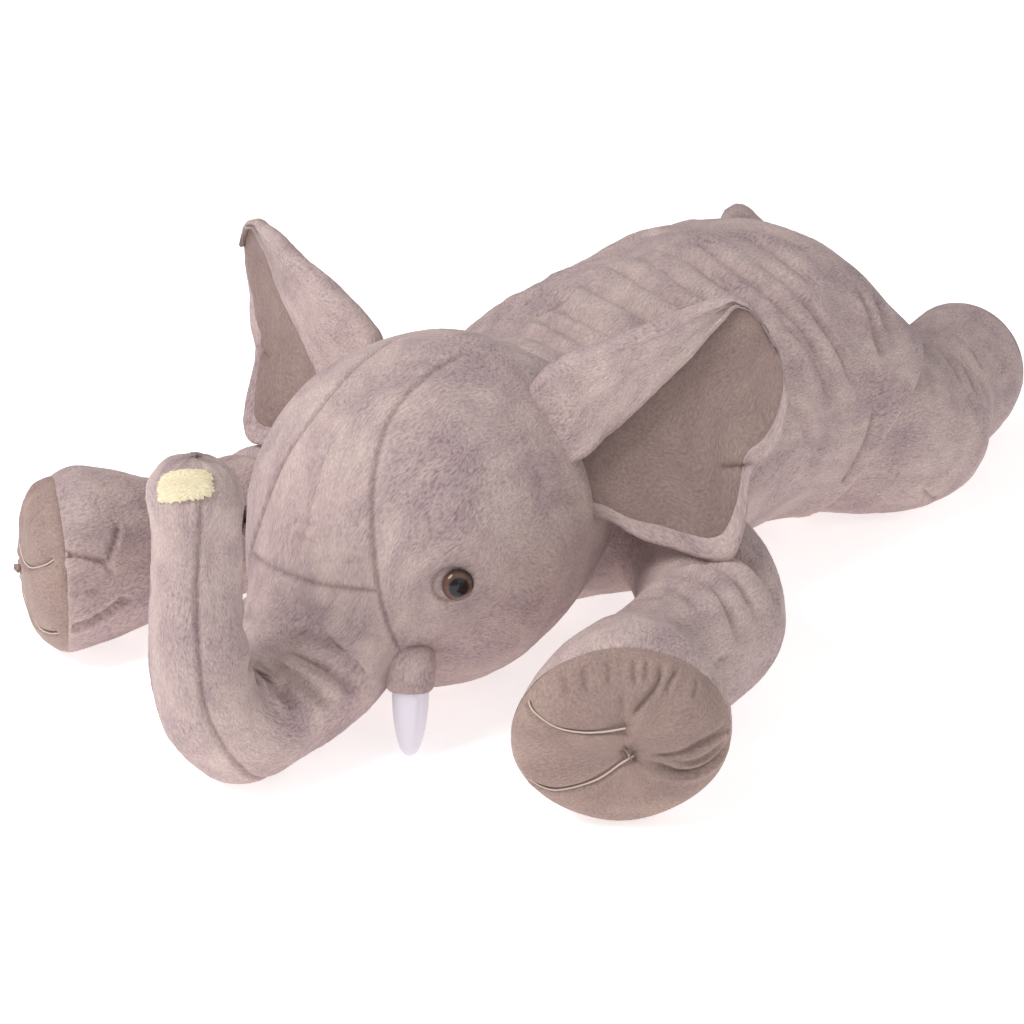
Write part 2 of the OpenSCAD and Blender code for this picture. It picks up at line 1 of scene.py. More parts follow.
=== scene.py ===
"""Looks of a large plush elephant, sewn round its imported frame.

Metres in Blender. Profiles are written in millimetres, in the frame's own axes:
+Z up, the elephant faces -Y, its left side is +X, the floor is z = 0.
"""
import json
import math

import bpy
import numpy as np
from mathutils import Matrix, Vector
from mathutils.bvhtree import BVHTree


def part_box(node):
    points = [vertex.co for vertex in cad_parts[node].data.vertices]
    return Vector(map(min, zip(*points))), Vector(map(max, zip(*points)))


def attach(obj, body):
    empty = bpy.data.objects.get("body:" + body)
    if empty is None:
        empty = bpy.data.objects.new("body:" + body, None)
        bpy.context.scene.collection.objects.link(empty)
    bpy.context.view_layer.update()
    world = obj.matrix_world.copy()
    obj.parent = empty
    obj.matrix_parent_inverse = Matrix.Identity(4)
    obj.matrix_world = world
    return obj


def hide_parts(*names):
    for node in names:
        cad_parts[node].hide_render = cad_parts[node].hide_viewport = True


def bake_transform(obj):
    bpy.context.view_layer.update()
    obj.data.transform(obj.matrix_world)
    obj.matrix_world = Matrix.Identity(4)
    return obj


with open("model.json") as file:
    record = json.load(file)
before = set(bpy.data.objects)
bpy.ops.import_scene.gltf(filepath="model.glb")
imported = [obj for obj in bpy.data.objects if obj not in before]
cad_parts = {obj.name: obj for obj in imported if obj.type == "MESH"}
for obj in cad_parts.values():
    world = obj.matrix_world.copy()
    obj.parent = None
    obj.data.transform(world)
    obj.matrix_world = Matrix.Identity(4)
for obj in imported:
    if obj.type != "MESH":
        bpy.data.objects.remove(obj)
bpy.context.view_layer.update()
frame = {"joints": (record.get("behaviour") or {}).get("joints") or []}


# ---- Camera, floor and light ----
# A long lens a little above the toy, in front of its left shoulder, a white paper floor
# that runs up into the distance, and large soft lamps with the key high on the left.

view_turn = math.radians(36.0)
view_rise = math.radians(22.5)
view_far = 2.6
view_aim = Vector((-0.031, -0.097, 0.084))
view_back = Vector((math.sin(view_turn) * math.cos(view_rise),
                    -math.cos(view_turn) * math.cos(view_rise), math.sin(view_rise)))
bpy.ops.object.camera_add()
camera = bpy.context.object
camera.name = "camera"
camera.location = view_aim + view_back * view_far
camera.rotation_euler = (-view_back).to_track_quat("-Z", "Y").to_euler()
camera.data.sensor_width = 36.0
camera.data.lens = 103.5
camera.data.clip_end = 60.0
scene = bpy.context.scene
scene.camera = camera
scene.view_settings.view_transform = "Standard"


def tone(red, green, blue):
    """A colour given as it shows on a screen, from 0 to 255, as light for a shader."""
    parts = [c / 255.0 for c in (red, green, blue)]
    light = [c / 12.92 if c <= 0.04045 else ((c + 0.055) / 1.055) ** 2.4 for c in parts]
    return (*light, 1.0)


def add(tree, kind, label="", **given):
    """A shader node. Names of its settings are set on it, names of its sockets get a value."""
    node = tree.nodes.new(kind)
    node.label = label
    for name, value in given.items():
        if hasattr(node, name):
            setattr(node, name, value)
        else:
            node.inputs[name.replace("_", " ")].default_value = value
    return node


def material(name):
    """An empty material with its node tree and its output."""
    made = bpy.data.materials.new(name)
    made.use_nodes = True
    made.node_tree.nodes.clear()
    return made, made.node_tree, add(made.node_tree, "ShaderNodeOutputMaterial")


floor_size = 24.0
bpy.ops.mesh.primitive_plane_add(size=floor_size, location=(0, 0, 0))
floor = bpy.context.object
floor.name = "studio_floor"
paper, tree, out = material("white_paper")
spots = add(tree, "ShaderNodeTexNoise", "paper tooth", Scale=90.0, Detail=3.0)
shade = add(tree, "ShaderNodeMix", "faint unevenness", data_type="RGBA")
shade.inputs[6].default_value = tone(250, 250, 250)
shade.inputs[7].default_value = tone(252, 252, 252)
cloth = add(tree, "ShaderNodeBsdfPrincipled", Roughness=0.9)
cloth.inputs["Specular IOR Level"].default_value = 0.1
cloth.inputs["Emission Strength"].default_value = 0.56
cloth.inputs["Emission Color"].default_value = (1.0, 1.0, 1.0, 1.0)
place = add(tree, "ShaderNodeTexCoord")
tree.links.new(place.outputs["Object"], spots.inputs["Vector"])
tree.links.new(spots.outputs["Fac"], shade.inputs[0])
tree.links.new(shade.outputs[2], cloth.inputs["Base Color"])
tree.links.new(cloth.outputs[0], out.inputs["Surface"])
floor.data.materials.append(paper)

world = bpy.data.worlds.new("studio")
scene.world = world
world.use_nodes = True
world.node_tree.nodes["Background"].inputs["Color"].default_value = (1.0, 1.0, 1.0, 1.0)
world.node_tree.nodes["Background"].inputs["Strength"].default_value = 0.46


def lamp(name, turn, rise, far, size, power):
    """A square soft lamp aimed at the toy, turned round it and raised, in degrees."""
    a, e = math.radians(turn), math.radians(rise)
    back = Vector((math.sin(a) * math.cos(e), -math.cos(a) * math.cos(e), math.sin(e)))
    bpy.ops.object.light_add(type="AREA")
    made = bpy.context.object
    made.name = name
    made.location = back * far
    made.rotation_euler = (-back).to_track_quat("-Z", "Y").to_euler()
    made.data.size = size
    made.data.energy = power


lamp("key_lamp", -24.0, 48.0, 3.0, 1.3, 52.0)
lamp("fill_lamp", 74.0, 30.0, 3.4, 2.4, 10.0)


# ---- Plush cloth ----
# Short pile polyester plush, cut and brushed, so that patches of the pile lie in different
# ways and small furrows open between the tufts, darkened with painted shade. Every cover of
# the toy is cut from it.

def socket_group(name, inputs, outputs):
    """A shader node group with named inputs and outputs, and its two end nodes."""
    made = bpy.data.node_groups.new(name, "ShaderNodeTree")
    for label, kind, value in inputs:
        socket = made.interface.new_socket(label, in_out="INPUT", socket_type=kind)
        socket.default_value = value
    for label, kind in outputs:
        made.interface.new_socket(label, in_out="OUTPUT", socket_type=kind)
    return made, made.nodes.new("NodeGroupInput"), made.nodes.new("NodeGroupOutput")


COLOR, VALUE, WAY = "NodeSocketColor", "NodeSocketFloat", "NodeSocketVector"


def brushed_pile_group():
    """Colour and height of brushed pile over cloth coordinates in metres, x along the pile, with painted
    shade in the furrows between tufts and in folds, seams and dimples.
    """
    made, start, end = socket_group("brushed_pile", [
        ("Cloth", WAY, (0.0, 0.0, 0.0)), ("Light", COLOR, (1, 1, 1, 1)),
        ("Middle", COLOR, (0.5, 0.5, 0.5, 1)), ("Furrow Shade", COLOR, (0.2, 0.2, 0.2, 1)),
        ("Furrow Shade Amount", VALUE, 0.5), ("Tuft Size", VALUE, 0.004), ("Crease Shade", VALUE, 0.0)],
        [("Color", COLOR), ("Height", VALUE)])
    link = made.links.new
    drift = add(made, "ShaderNodeTexNoise", "slow change of the pile's way", Scale=11.0,
                Detail=2.0)
    link(start.outputs["Cloth"], drift.inputs["Vector"])
    centred = add(made, "ShaderNodeVectorMath", operation="SUBTRACT")
    centred.inputs[1].default_value = (0.5, 0.5, 0.5)
    link(drift.outputs["Color"], centred.inputs[0])
    wander = add(made, "ShaderNodeVectorMath", operation="MULTIPLY")
    wander.inputs[1].default_value = (0.05, 0.05, 0.0)
    link(centred.outputs[0], wander.inputs[0])
    bent = add(made, "ShaderNodeVectorMath", operation="ADD")
    link(start.outputs["Cloth"], bent.inputs[0])
    link(wander.outputs[0], bent.inputs[1])
    drawn = add(made, "ShaderNodeVectorMath", "longer along the pile", operation="MULTIPLY")
    drawn.inputs[1].default_value = (0.5, 1.0, 1.0)
    link(bent.outputs[0], drawn.inputs[0])
    per_metre = add(made, "ShaderNodeMath", "tufts in a metre", operation="DIVIDE")
    per_metre.inputs[0].default_value = 1.0
    link(start.outputs["Tuft Size"], per_metre.inputs[1])
    tufts = add(made, "ShaderNodeTexNoise", "tufts", Detail=2.5, Roughness=0.62)
    link(drawn.outputs[0], tufts.inputs["Vector"])
    link(per_metre.outputs[0], tufts.inputs["Scale"])
    patches = add(made, "ShaderNodeTexNoise", "brushed patches", Scale=15.0, Detail=3.0,
                  Roughness=0.55)
    link(bent.outputs[0], patches.inputs["Vector"])
    broken = add(made, "ShaderNodeTexNoise", "small brush marks", Scale=62.0, Detail=3.0,
                 Roughness=0.6)
    link(drawn.outputs[0], broken.inputs["Vector"])
    # Painted shade: where the tufts are low, the furrows between them take the darker furrow colour.
    where = add(made, "ShaderNodeMapRange", "where furrows open", From_Min=0.40,
                From_Max=0.66, To_Min=0.0, To_Max=1.0)
    link(patches.outputs["Fac"], where.inputs["Value"])
    furrow_shade_mask = add(made, "ShaderNodeMapRange", "furrow_shade", From_Min=0.52, From_Max=0.34,
              To_Min=0.0, To_Max=1.0)
    link(tufts.outputs["Fac"], furrow_shade_mask.inputs["Value"])
    open_part = add(made, "ShaderNodeMath", operation="MULTIPLY")
    link(where.outputs[0], open_part.inputs[0])
    link(furrow_shade_mask.outputs[0], open_part.inputs[1])
    furrow_shade_strength = add(made, "ShaderNodeMath", operation="MULTIPLY", use_clamp=True)
    link(open_part.outputs[0], furrow_shade_strength.inputs[0])
    link(start.outputs["Furrow Shade Amount"], furrow_shade_strength.inputs[1])
    tide = add(made, "ShaderNodeMapRange", "light and middle", From_Min=0.36, From_Max=0.64,
               To_Min=0.0, To_Max=1.0)
    both = add(made, "ShaderNodeMath", operation="ADD")
    half = add(made, "ShaderNodeMath", operation="MULTIPLY")
    half.inputs[1].default_value = 0.5
    link(patches.outputs["Fac"], both.inputs[0])
    link(broken.outputs["Fac"], both.inputs[1])
    link(both.outputs[0], half.inputs[0])
    link(half.outputs[0], tide.inputs["Value"])
    ground = add(made, "ShaderNodeMix", data_type="RGBA")
    link(tide.outputs[0], ground.inputs[0])
    link(start.outputs["Light"], ground.inputs[6])
    link(start.outputs["Middle"], ground.inputs[7])
    furrow_shaded = add(made, "ShaderNodeMix", data_type="RGBA")
    link(furrow_shade_strength.outputs[0], furrow_shaded.inputs[0])
    link(ground.outputs[2], furrow_shaded.inputs[6])
    link(start.outputs["Furrow Shade"], furrow_shaded.inputs[7])
    fibre = add(made, "ShaderNodeTexNoise", "fibre tips", Scale=640.0, Detail=2.0, Roughness=0.7)
    link(drawn.outputs[0], fibre.inputs["Vector"])
    fine = add(made, "ShaderNodeMath", operation="MULTIPLY")
    fine.inputs[1].default_value = 0.6
    link(fibre.outputs["Fac"], fine.inputs[0])
    tips = add(made, "ShaderNodeMapRange", "light and dark tips", From_Min=0.32, From_Max=0.68,
               To_Min=0.80, To_Max=1.16)
    link(fibre.outputs["Fac"], tips.inputs["Value"])
    speckled = add(made, "ShaderNodeVectorMath", operation="SCALE")
    link(furrow_shaded.outputs[2], speckled.inputs[0])
    link(tips.outputs[0], speckled.inputs["Scale"])
    tall = add(made, "ShaderNodeMath", operation="ADD")
    link(fine.outputs[0], tall.inputs[0])
    link(tufts.outputs["Fac"], tall.inputs[1])
    # Painted shade: the colour is multiplied darker where folds, seams and dimples are.
    painted_crease_shade = add(made, "ShaderNodeMix", "painted shade in folds and seams", data_type="RGBA",
                  blend_type="MULTIPLY")
    painted_crease_shade.inputs[7].default_value = (0.30, 0.24, 0.25, 1.0)
    link(start.outputs["Crease Shade"], painted_crease_shade.inputs[0])
    link(speckled.outputs[0], painted_crease_shade.inputs[6])
    link(painted_crease_shade.outputs[2], end.inputs["Color"])
    link(tall.outputs[0], end.inputs["Height"])
    return made


brushed_pile = brushed_pile_group()


def pile_material(name, light, middle, furrow_shade, furrow_shade_amount, tuft, bump):
    """Plush or velour: the pile group on the piece's own cloth coordinates, with a sheen."""
    made, tree, out = material(name)
    cloth = add(tree, "ShaderNodeUVMap", uv_map="cloth")
    pile = add(tree, "ShaderNodeGroup", "brushed pile")
    pile.node_tree = brushed_pile
    pile.inputs["Light"].default_value = light
    pile.inputs["Middle"].default_value = middle
    pile.inputs["Furrow Shade"].default_value = furrow_shade
    pile.inputs["Furrow Shade Amount"].default_value = furrow_shade_amount
    pile.inputs["Tuft Size"].default_value = tuft
    relief = add(tree, "ShaderNodeBump", "pile relief", Strength=bump)
    relief.inputs["Distance"].default_value = 0.0016
    surface = add(tree, "ShaderNodeBsdfPrincipled", Roughness=0.92)
    surface.inputs["Specular IOR Level"].default_value = 0.12
    surface.inputs["Sheen Weight"].default_value = 0.22
    surface.inputs["Sheen Roughness"].default_value = 0.45
    surface.inputs["Sheen Tint"].default_value = tone(236, 222, 220)
    # Painted shade from the grid's folds, seams and dimples darkens the pile's colour.
    painted_shade_attribute = add(tree, "ShaderNodeAttribute", attribute_name="crease_shade")
    tree.links.new(painted_shade_attribute.outputs["Fac"], pile.inputs["Crease Shade"])
    tree.links.new(cloth.outputs["UV"], pile.inputs["Cloth"])
    tree.links.new(pile.outputs["Color"], surface.inputs["Base Color"])
    tree.links.new(pile.outputs["Height"], relief.inputs["Height"])
    tree.links.new(relief.outputs["Normal"], surface.inputs["Normal"])
    tree.links.new(surface.outputs[0], out.inputs["Surface"])
    return made


# The third colour is the painted shade laid in the furrows between tufts.
plush = pile_material("mauve_plush", tone(203, 182, 176), tone(173, 151, 153),
                      tone(120, 98, 104), 0.55, 0.0024, 1.0)


# ---- Torso filling ----
# The stuffed body under its cover: a long loaf, highest over the middle of the back, flat
# where it lies on the floor. It sets where the legs, the tail and the neck are sewn in.

MM = 0.001


def curve(a, b, c, d, f):
    """A place between b and c, at share f, on the smooth curve through a, b, c and d."""
    return 0.5 * (2 * b + (c - a) * f + (2 * a - 5 * b + 4 * c - d) * f ** 2
                  + (3 * b - a - 3 * c + d) * f ** 3)


def even_rows(stations, count):
    """Rows on the smooth line through the stations, evenly spaced along the cloth."""
    s = np.array(stations, float)
    last = len(s) - 1

    def at(t):
        i = np.clip(np.floor(t).astype(int), 0, last - 1)
        return curve(s[np.maximum(i - 1, 0)], s[i], s[i + 1], s[np.minimum(i + 2, last)],
                     (t - i)[:, None])

    t = np.linspace(0, last, last * 24 + 1)
    steps = np.diff(at(t), axis=0)
    gone = np.sqrt((steps[:, :3] ** 2).sum(1) + 0.5 * (steps[:, 3:] ** 2).sum(1))
    length = np.concatenate([[0.0], np.cumsum(gone)])
    return at(np.interp(np.linspace(0, length[-1], count), length, t))


def ovals(rows, count, lowest=0.0):
    """A grid of points: one closed oval for each row of centre and two half axes."""
    f = np.linspace(0, 2 * math.pi, count, endpoint=False)[None, :, None]
    grid = (rows[:, None, 0:3] + rows[:, None, 3:6] * np.cos(f)
            + rows[:, None, 6:9] * np.sin(f)) * MM
    grid[..., 2] = np.maximum(grid[..., 2], lowest)
    return grid


def facing(grid):
    """The outward direction at every point of a grid."""
    grid = grid[..., :3]
    along = np.gradient(grid, axis=0)
    across = np.roll(grid, -1, 1) - np.roll(grid, 1, 1)
    out = np.cross(across, along)
    return out / np.maximum(np.linalg.norm(out, axis=2, keepdims=True), 1e-12)


def grid_faces(rows, cols):
    """Faces of a closed tube of rows x cols points, with one more point at each end."""
    faces = []
    for i in range(rows - 1):
        for j in range(cols):
            k = (j + 1) % cols
            faces.append((i * cols + j, i * cols + k, (i + 1) * cols + k, (i + 1) * cols + j))
    first, last = rows * cols, rows * cols + 1
    base = (rows - 1) * cols
    for j in range(cols):
        k = (j + 1) % cols
        faces.append((first, k, j))
        faces.append((last, base + j, base + k))
    return faces


def grid_points(grid):
    """The points of a grid with the middle of its two end rows."""
    grid = grid[..., :3]
    ends = np.array([grid[0].mean(0), grid[-1].mean(0)])
    return np.concatenate([grid.reshape(-1, 3), ends])


def form_tree(grid):
    """A search tree of the closed form of a grid."""
    return BVHTree.FromPolygons(grid_points(grid).tolist(), grid_faces(*grid.shape[:2]))


torso_low, torso_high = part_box("torso_left_panel")
torso_long = torso_high.y - torso_low.y
torso_off_middle = -7.0
# Share of the length, top and bottom as shares of the height, share of the half width.
torso_profile = [(-0.12, 0.68, 0.32, 0.30), (-0.11, 0.76, 0.22, 0.44), (-0.07, 0.86, 0.10, 0.62),
                 (0.0, 0.90, 0.045, 0.71), (0.097, 0.948, 0.0, 0.80), (0.213, 0.982, 0.0, 0.884),
                 (0.368, 1.0, 0.0, 0.948), (0.523, 1.0, 0.0, 0.988), (0.678, 0.968, 0.0, 1.0),
                 (0.79, 0.862, 0.0, 0.90), (0.868, 0.722, 0.02, 0.76), (0.92, 0.58, 0.07, 0.56),
                 (0.952, 0.47, 0.15, 0.33), (0.962, 0.38, 0.24, 0.12)]
torso_stations = []
for far, top, bottom, wide in torso_profile:
    rise = torso_high.z / MM
    torso_stations.append((torso_off_middle, (torso_low.y + far * torso_long) / MM,
                           (top + bottom) / 2 * rise, 0, 0, (top - bottom) / 2 * rise,
                           wide * torso_high.x / MM, 0, 0))
torso_form = ovals(even_rows(torso_stations, 150), 220)
# The filling has sunk a little on the right of the back, behind the neck.
slump = np.clip(-torso_form[..., 0] / 0.12, 0, 1) * np.clip((torso_form[..., 2] - 0.12) / 0.14, 0, 1)
torso_form[..., 2] -= 0.014 * slump * np.clip((torso_form[..., 1] + 0.06) / 0.08, 0, 1)
torso_tree = form_tree(torso_form)


# ---- Front legs ----
# Each is a plush tube, cut on the curve and stuffed firmly, that widens to a round foot.
# The wide end is closed by a separate oval sole, and the narrow end is sewn into the torso.

def finer(grid, times):
    """The same grid with more points, on smooth curves through the old ones."""
    rows = grid.shape[0]
    t = np.linspace(0, rows - 1, (rows - 1) * times + 1)
    i = np.minimum(np.floor(t).astype(int), rows - 2)
    f = (t - i)[:, None, None]
    long = curve(grid[np.maximum(i - 1, 0)], grid[i], grid[i + 1],
                 grid[np.minimum(i + 2, rows - 1)], f)
    parts = []
    for k in range(times):
        parts.append(curve(np.roll(long, 1, 1), long, np.roll(long, -1, 1),
                           np.roll(long, -2, 1), k / times))
    return np.stack(parts, 2).reshape(len(t), -1, grid.shape[2])


def cut_out(grid, times=2):
    """The finer grid of a cover, with one more number at each point: how much painted shade darkens its
    colour there.
    """
    fine = finer(grid, times)
    return np.concatenate([fine, np.zeros((*fine.shape[:2], 1))], 2)


def smooth_line(points, count=40):
    """Evenly spread points on the smooth line through a few chosen ones, in metres."""
    rows = even_rows([(*p, 0, 0, 0, 0, 0, 0) for p in points], count)
    return rows[:, :3] * MM


def calm_facing(grid):
    """The outward direction, averaged over neighbours so that folds don't upset each other."""
    out = facing(grid)
    for round_of_smoothing in range(4):
        padded_rows = np.concatenate([out[:1], out, out[-1:]])
        out = padded_rows[:-2] + 2 * out + padded_rows[2:]
        out = np.roll(out, 1, 1) + 2 * out + np.roll(out, -1, 1)
    return out / np.maximum(np.linalg.norm(out, axis=2, keepdims=True), 1e-12)


def fold(grid, points, wide, deep, lip=0.45, ends=0.25, dark=0.10):
    """Presses a fold into the cloth along a line of points, with a raised lip beside it and painted shade
    along its groove.
    """
    line = smooth_line(points)
    wide, deep = wide * MM, deep * MM
    reach = 5 * wide
    low, high = line.min(0) - reach - 0.02, line.max(0) + reach + 0.02
    near = np.all((grid[..., :3] > low) & (grid[..., :3] < high), axis=2)
    if not near.any():
        return
    p, n = grid[near][:, :3], calm_facing(grid)[near]
    k = np.linalg.norm(p[:, None, :] - line[None], axis=2).argmin(1)
    d, side, t = np.full(len(p), 9.0), np.ones(len(p)), np.zeros(len(p))
    for first in (np.maximum(k - 1, 0), np.minimum(k, len(line) - 2)):
        a, run = line[first], line[first + 1] - line[first]
        share = np.clip(((p - a) * run).sum(1) / (run * run).sum(1), 0, 1)
        away = p - a - share[:, None] * run
        off = (away * n).sum(1)
        flat = away - off[:, None] * n
        gap = np.sqrt((flat ** 2).sum(1)) + np.maximum(np.abs(off) - 0.03, 0) * 3
        nearer = gap < d
        d = np.where(nearer, gap, d)
        side = np.where(nearer, np.sign((np.cross(run, n) * flat).sum(1)), side)
        t = np.where(nearer, (first + share) / (len(line) - 1), t)
    fade = np.clip(np.minimum(t, 1 - t) / max(ends, 1e-6), 0, 1)
    fade = fade * fade * (3 - 2 * fade)
    valley = np.exp(-(d / wide) ** 2)
    ridge = np.exp(-((d - 2.0 * wide) / (1.3 * wide)) ** 2)
    both = np.where(side > 0, 1.0, 0.45)
    move = n * ((lip * both * ridge - valley) * deep * fade)[:, None]
    # Painted shade along the groove, kept in the grid's fourth number.
    shade = np.exp(-(d / max(0.55 * wide, 1.4 * MM)) ** 2) * fade * dark
    grid[near] += np.concatenate([move, shade[:, None]], 1)


def seam(grid, points, wide=2.0, deep=1.9, puckers=0.6, dark=0.40):
    """A sewn seam: a narrow groove that keeps its depth to its ends, darkened with painted shade."""
    fold(grid, points, wide, deep, lip=0.35, ends=0.04, dark=dark)
    fold(grid, points, wide * 3.2, deep * puckers, lip=0.0, ends=0.1, dark=0.06)


def uneven(grid, seed, cells, deep):
    """Slow unevenness of stuffed cloth: a seeded coarse lattice, smoothed over the grid."""
    rows, cols = grid.shape[:2]
    lattice = np.random.default_rng(seed).normal(size=(cells[0] + 1, cells[1], 1))
    i = np.linspace(0, cells[0], rows)
    j = np.arange(cols) * cells[1] / cols
    times = 12
    fine = finer(lattice, times)[..., 0]
    value = fine[np.round(i * times).astype(int)][:, np.round(j * times).astype(int) % fine.shape[1]]
    grid[..., :3] += facing(grid) * (value * deep * MM)[..., None]


def swell(grid, tree, reach):
    """Fills out the cloth where it is sewn to another form, so that the two run together."""
    out = facing(grid)
    reach *= MM
    for i in range(grid.shape[0]):
        for j in range(grid.shape[1]):
            p = Vector(grid[i, j, :3])
            spot, normal, index, gap = tree.find_nearest(p, reach)
            if spot is not None:
                grid[i, j, :3] += out[i, j] * (reach - gap) ** 2 / (4 * reach)


def skin(name, grid, finish, shift=0.0):
    """A closed cover from a grid, with cloth coordinates in metres along and round it."""
    grid[..., 2] = np.maximum(grid[..., 2], 0.0)
    rows, cols = grid.shape[:2]
    mesh = bpy.data.meshes.new(name)
    mesh.from_pydata(grid_points(grid).tolist(), [], grid_faces(rows, cols))
    # The grid's fourth number becomes the painted shade attribute that darkens the material.
    painted_crease_shade = np.zeros(rows * cols + 2, np.float32)
    if grid.shape[2] > 3:
        painted_crease_shade[:-2] = np.clip(grid[..., 3], 0, 1).ravel()
    mesh.attributes.new("crease_shade", "FLOAT", "POINT").data.foreach_set("value", painted_crease_shade)
    grid = grid[..., :3]
    steps = np.linalg.norm(np.diff(grid, axis=0), axis=2).mean(1)
    along = np.concatenate([[0.0], np.cumsum(steps)]) + shift
    girth = np.linalg.norm(np.roll(grid, -1, 1) - grid, axis=2).sum(1).mean()
    i, j = np.meshgrid(np.arange(rows - 1), np.arange(cols), indexing="ij")
    i, j = i.ravel(), j.ravel()
    u = np.stack([along[i], along[i], along[i + 1], along[i + 1]], 1)
    v = np.stack([j, j + 1, j + 1, j], 1) * girth / cols
    k = np.arange(cols)
    first = np.stack([np.stack([np.full(cols, along[0] - 0.01), k + 0.5], 1),
                      np.stack([np.full(cols, along[0]), k + 1], 1),
                      np.stack([np.full(cols, along[0]), k], 1)], 1)
    last = np.stack([np.stack([np.full(cols, along[-1] + 0.01), k + 0.5], 1),
                     np.stack([np.full(cols, along[-1]), k], 1),
                     np.stack([np.full(cols, along[-1]), k + 1], 1)], 1)
    caps = np.stack([first, last], 1).reshape(-1, 2)
    caps[:, 1] *= girth / cols
    pairs = np.concatenate([np.stack([u, v], 2).reshape(-1, 2), caps])
    layer = mesh.uv_layers.new(name="cloth")
    layer.data.foreach_set("uv", pairs.astype(np.float32).ravel())
    mesh.shade_smooth()
    mesh.materials.append(finish)
    piece = bpy.data.objects.new(name, mesh)
    scene.collection.objects.link(piece)
    return piece


def upright(x, y, z, turn, wide, high):
    """A station across a leg: turn is the way it points, from -Y towards +X, in degrees."""
    a = math.radians(turn)
    return (x, y, z, 0, 0, high, -math.cos(a) * wide, -math.sin(a) * wide, 0)


def mirrored(grid):
    """The same grid on the other side of the toy, still facing outwards."""
    other = grid[:, ::-1].copy()
    other[..., 0] *= -1
    return other


def other_side(points):
    """The same line of points on the other side of the toy."""
    return [(-x, y, z) for x, y, z in points]


# Centre, the way it points, half width and half height, from inside the torso to the rim.
front_left_stations = [(112, -30, 76, 20, 12, 12), (118, -38, 76, 22, 34, 34),
                       (134, -58, 74, 27, 51, 52), (162, -90, 73, 32, 59, 61),
                       (196, -130, 72, 32, 62, 64), (223, -174, 71, 20, 62, 64),
                       (232, -226, 70, 10, 56, 61), (236, -282, 70, 14, 47, 60),
                       (252, -327, 74, 24, 60, 71), (267, -357, 76, 33, 78, 75.5),
                       (276, -379, 73, 39, 84, 71.5)]
front_right_stations = [(112, -30, 76, 22, 12, 12), (118, -38, 76, 24, 34, 34),
                        (133, -60, 73, 28, 51, 52), (158, -96, 73, 31, 58, 60),
                        (192, -144, 71, 29, 60, 61), (218, -194, 70, 25, 59, 61),
                       (238, -250, 69, 20, 58, 60), (254, -306, 69, 22, 59, 60),
                       (268, -350, 75, 28, 69, 72), (279, -379, 78, 35, 79, 78),
                       (288, -400, 76, 41, 84, 74)]


def tucked(stations):
    """A leg's stations with its end turned in behind the sole's seam."""
    x, y, z, turn, wide, high = stations[-1]
    a = math.radians(turn)
    ends = []
    for back, share in ((-2.0, 0.985), (0.5, 0.955), (4.0, 0.86), (6.0, 0.5), (6.5, 0.05)):
        ends.append(upright(x - back * math.sin(a), y + back * math.cos(a), z, turn,
                            wide * share, high * share))
    return [upright(*s) for s in stations] + ends


# Each fold is the points it runs through, then its width and depth.
front_folds = [
    ([(196, -196, 132), (221, -186, 130), (242, -184, 118), (258, -190, 102), (266, -196, 84)], 6, 5.6),
    ([(202, -216, 130), (228, -211, 128), (250, -212, 116), (267, -220, 100), (274, -226, 82)], 6, 5.4),
    ([(212, -168, 132), (234, -158, 122), (252, -158, 104), (262, -164, 86)], 6, 5.0),
    ([(192, -116, 132), (216, -122, 122), (236, -132, 104), (248, -142, 84)], 7, 4.6),
    ([(196, -242, 128), (218, -238, 128), (240, -242, 120), (256, -248, 104)], 7, 3.6),
    ([(206, -262, 126), (226, -258, 126), (246, -262, 116)], 7, 2.4),
]
front_seam = [(238, -150, 70), (248, -180, 76), (263, -202, 80), (276, -232, 84), (290, -268, 84),
              (305, -305, 80)]


def behind_rim(tree, side, rim, back, height):
    """A point on the inner side of a foot, from how far behind its rim it is and how high."""
    x, y, z, turn, wide, high = rim
    a = math.radians(turn)
    aim = Vector((x - back * math.sin(a) - 150 * math.cos(a),
                  y + back * math.cos(a) - 150 * math.sin(a), height)) * MM
    across = Vector((math.cos(a), math.sin(a), 0))
    aim.x, across.x = side * aim.x, side * across.x
    return tuple(tree.ray_cast(aim, across)[0] / MM)


def build_front_leg(side, stations, folds, seams, body, seed):
    """A front leg's cover, and a search tree of its form before the folds are pressed in."""
    grid = ovals(even_rows(tucked(stations), 104), 84)
    if side < 0:
        grid = mirrored(grid)
    swell(grid, torso_tree, 44)
    tree = form_tree(grid)
    grid = cut_out(grid)
    uneven(grid, seed, (9, 6), 1.1)
    uneven(grid, seed + 1, (30, 24), 0.35)
    for points, wide, deep in folds:
        fold(grid, points if side > 0 else other_side(points), wide, deep)
    for points in seams:
        seam(grid, points if side > 0 else other_side(points))
    if side < 0:
        for places, wide, deep, dark in toe_creases:
            line = [behind_rim(tree, side, stations[-1], back, height) for back, height in places]
            fold(grid, line, wide, deep, ends=0.05, dark=dark)
    uneven(grid, seed + 2, (100, 80), 0.10)
    piece = skin(body + "_skin", grid, plush, shift=seed * 0.37)
    return piece, tree


# Creases that carry a foot's toes on from the sole: how far behind the rim, and how high, then width,
# depth and painted shade.
toe_creases = [([(0, 114), (14, 110), (35, 100)], 3.0, 4.2, 0.40),
               ([(35, 100), (41, 111), (48, 124)], 2.6, 3.4, 0.30),
               ([(35, 100), (37, 90)], 2.4, 2.4, 0.25),
               ([(0, 50), (19, 51), (36, 57), (50, 65)], 3.4, 4.6, 0.35),
               ([(0, 83), (12, 82), (25, 81)], 2.4, 1.3, 0.15)]

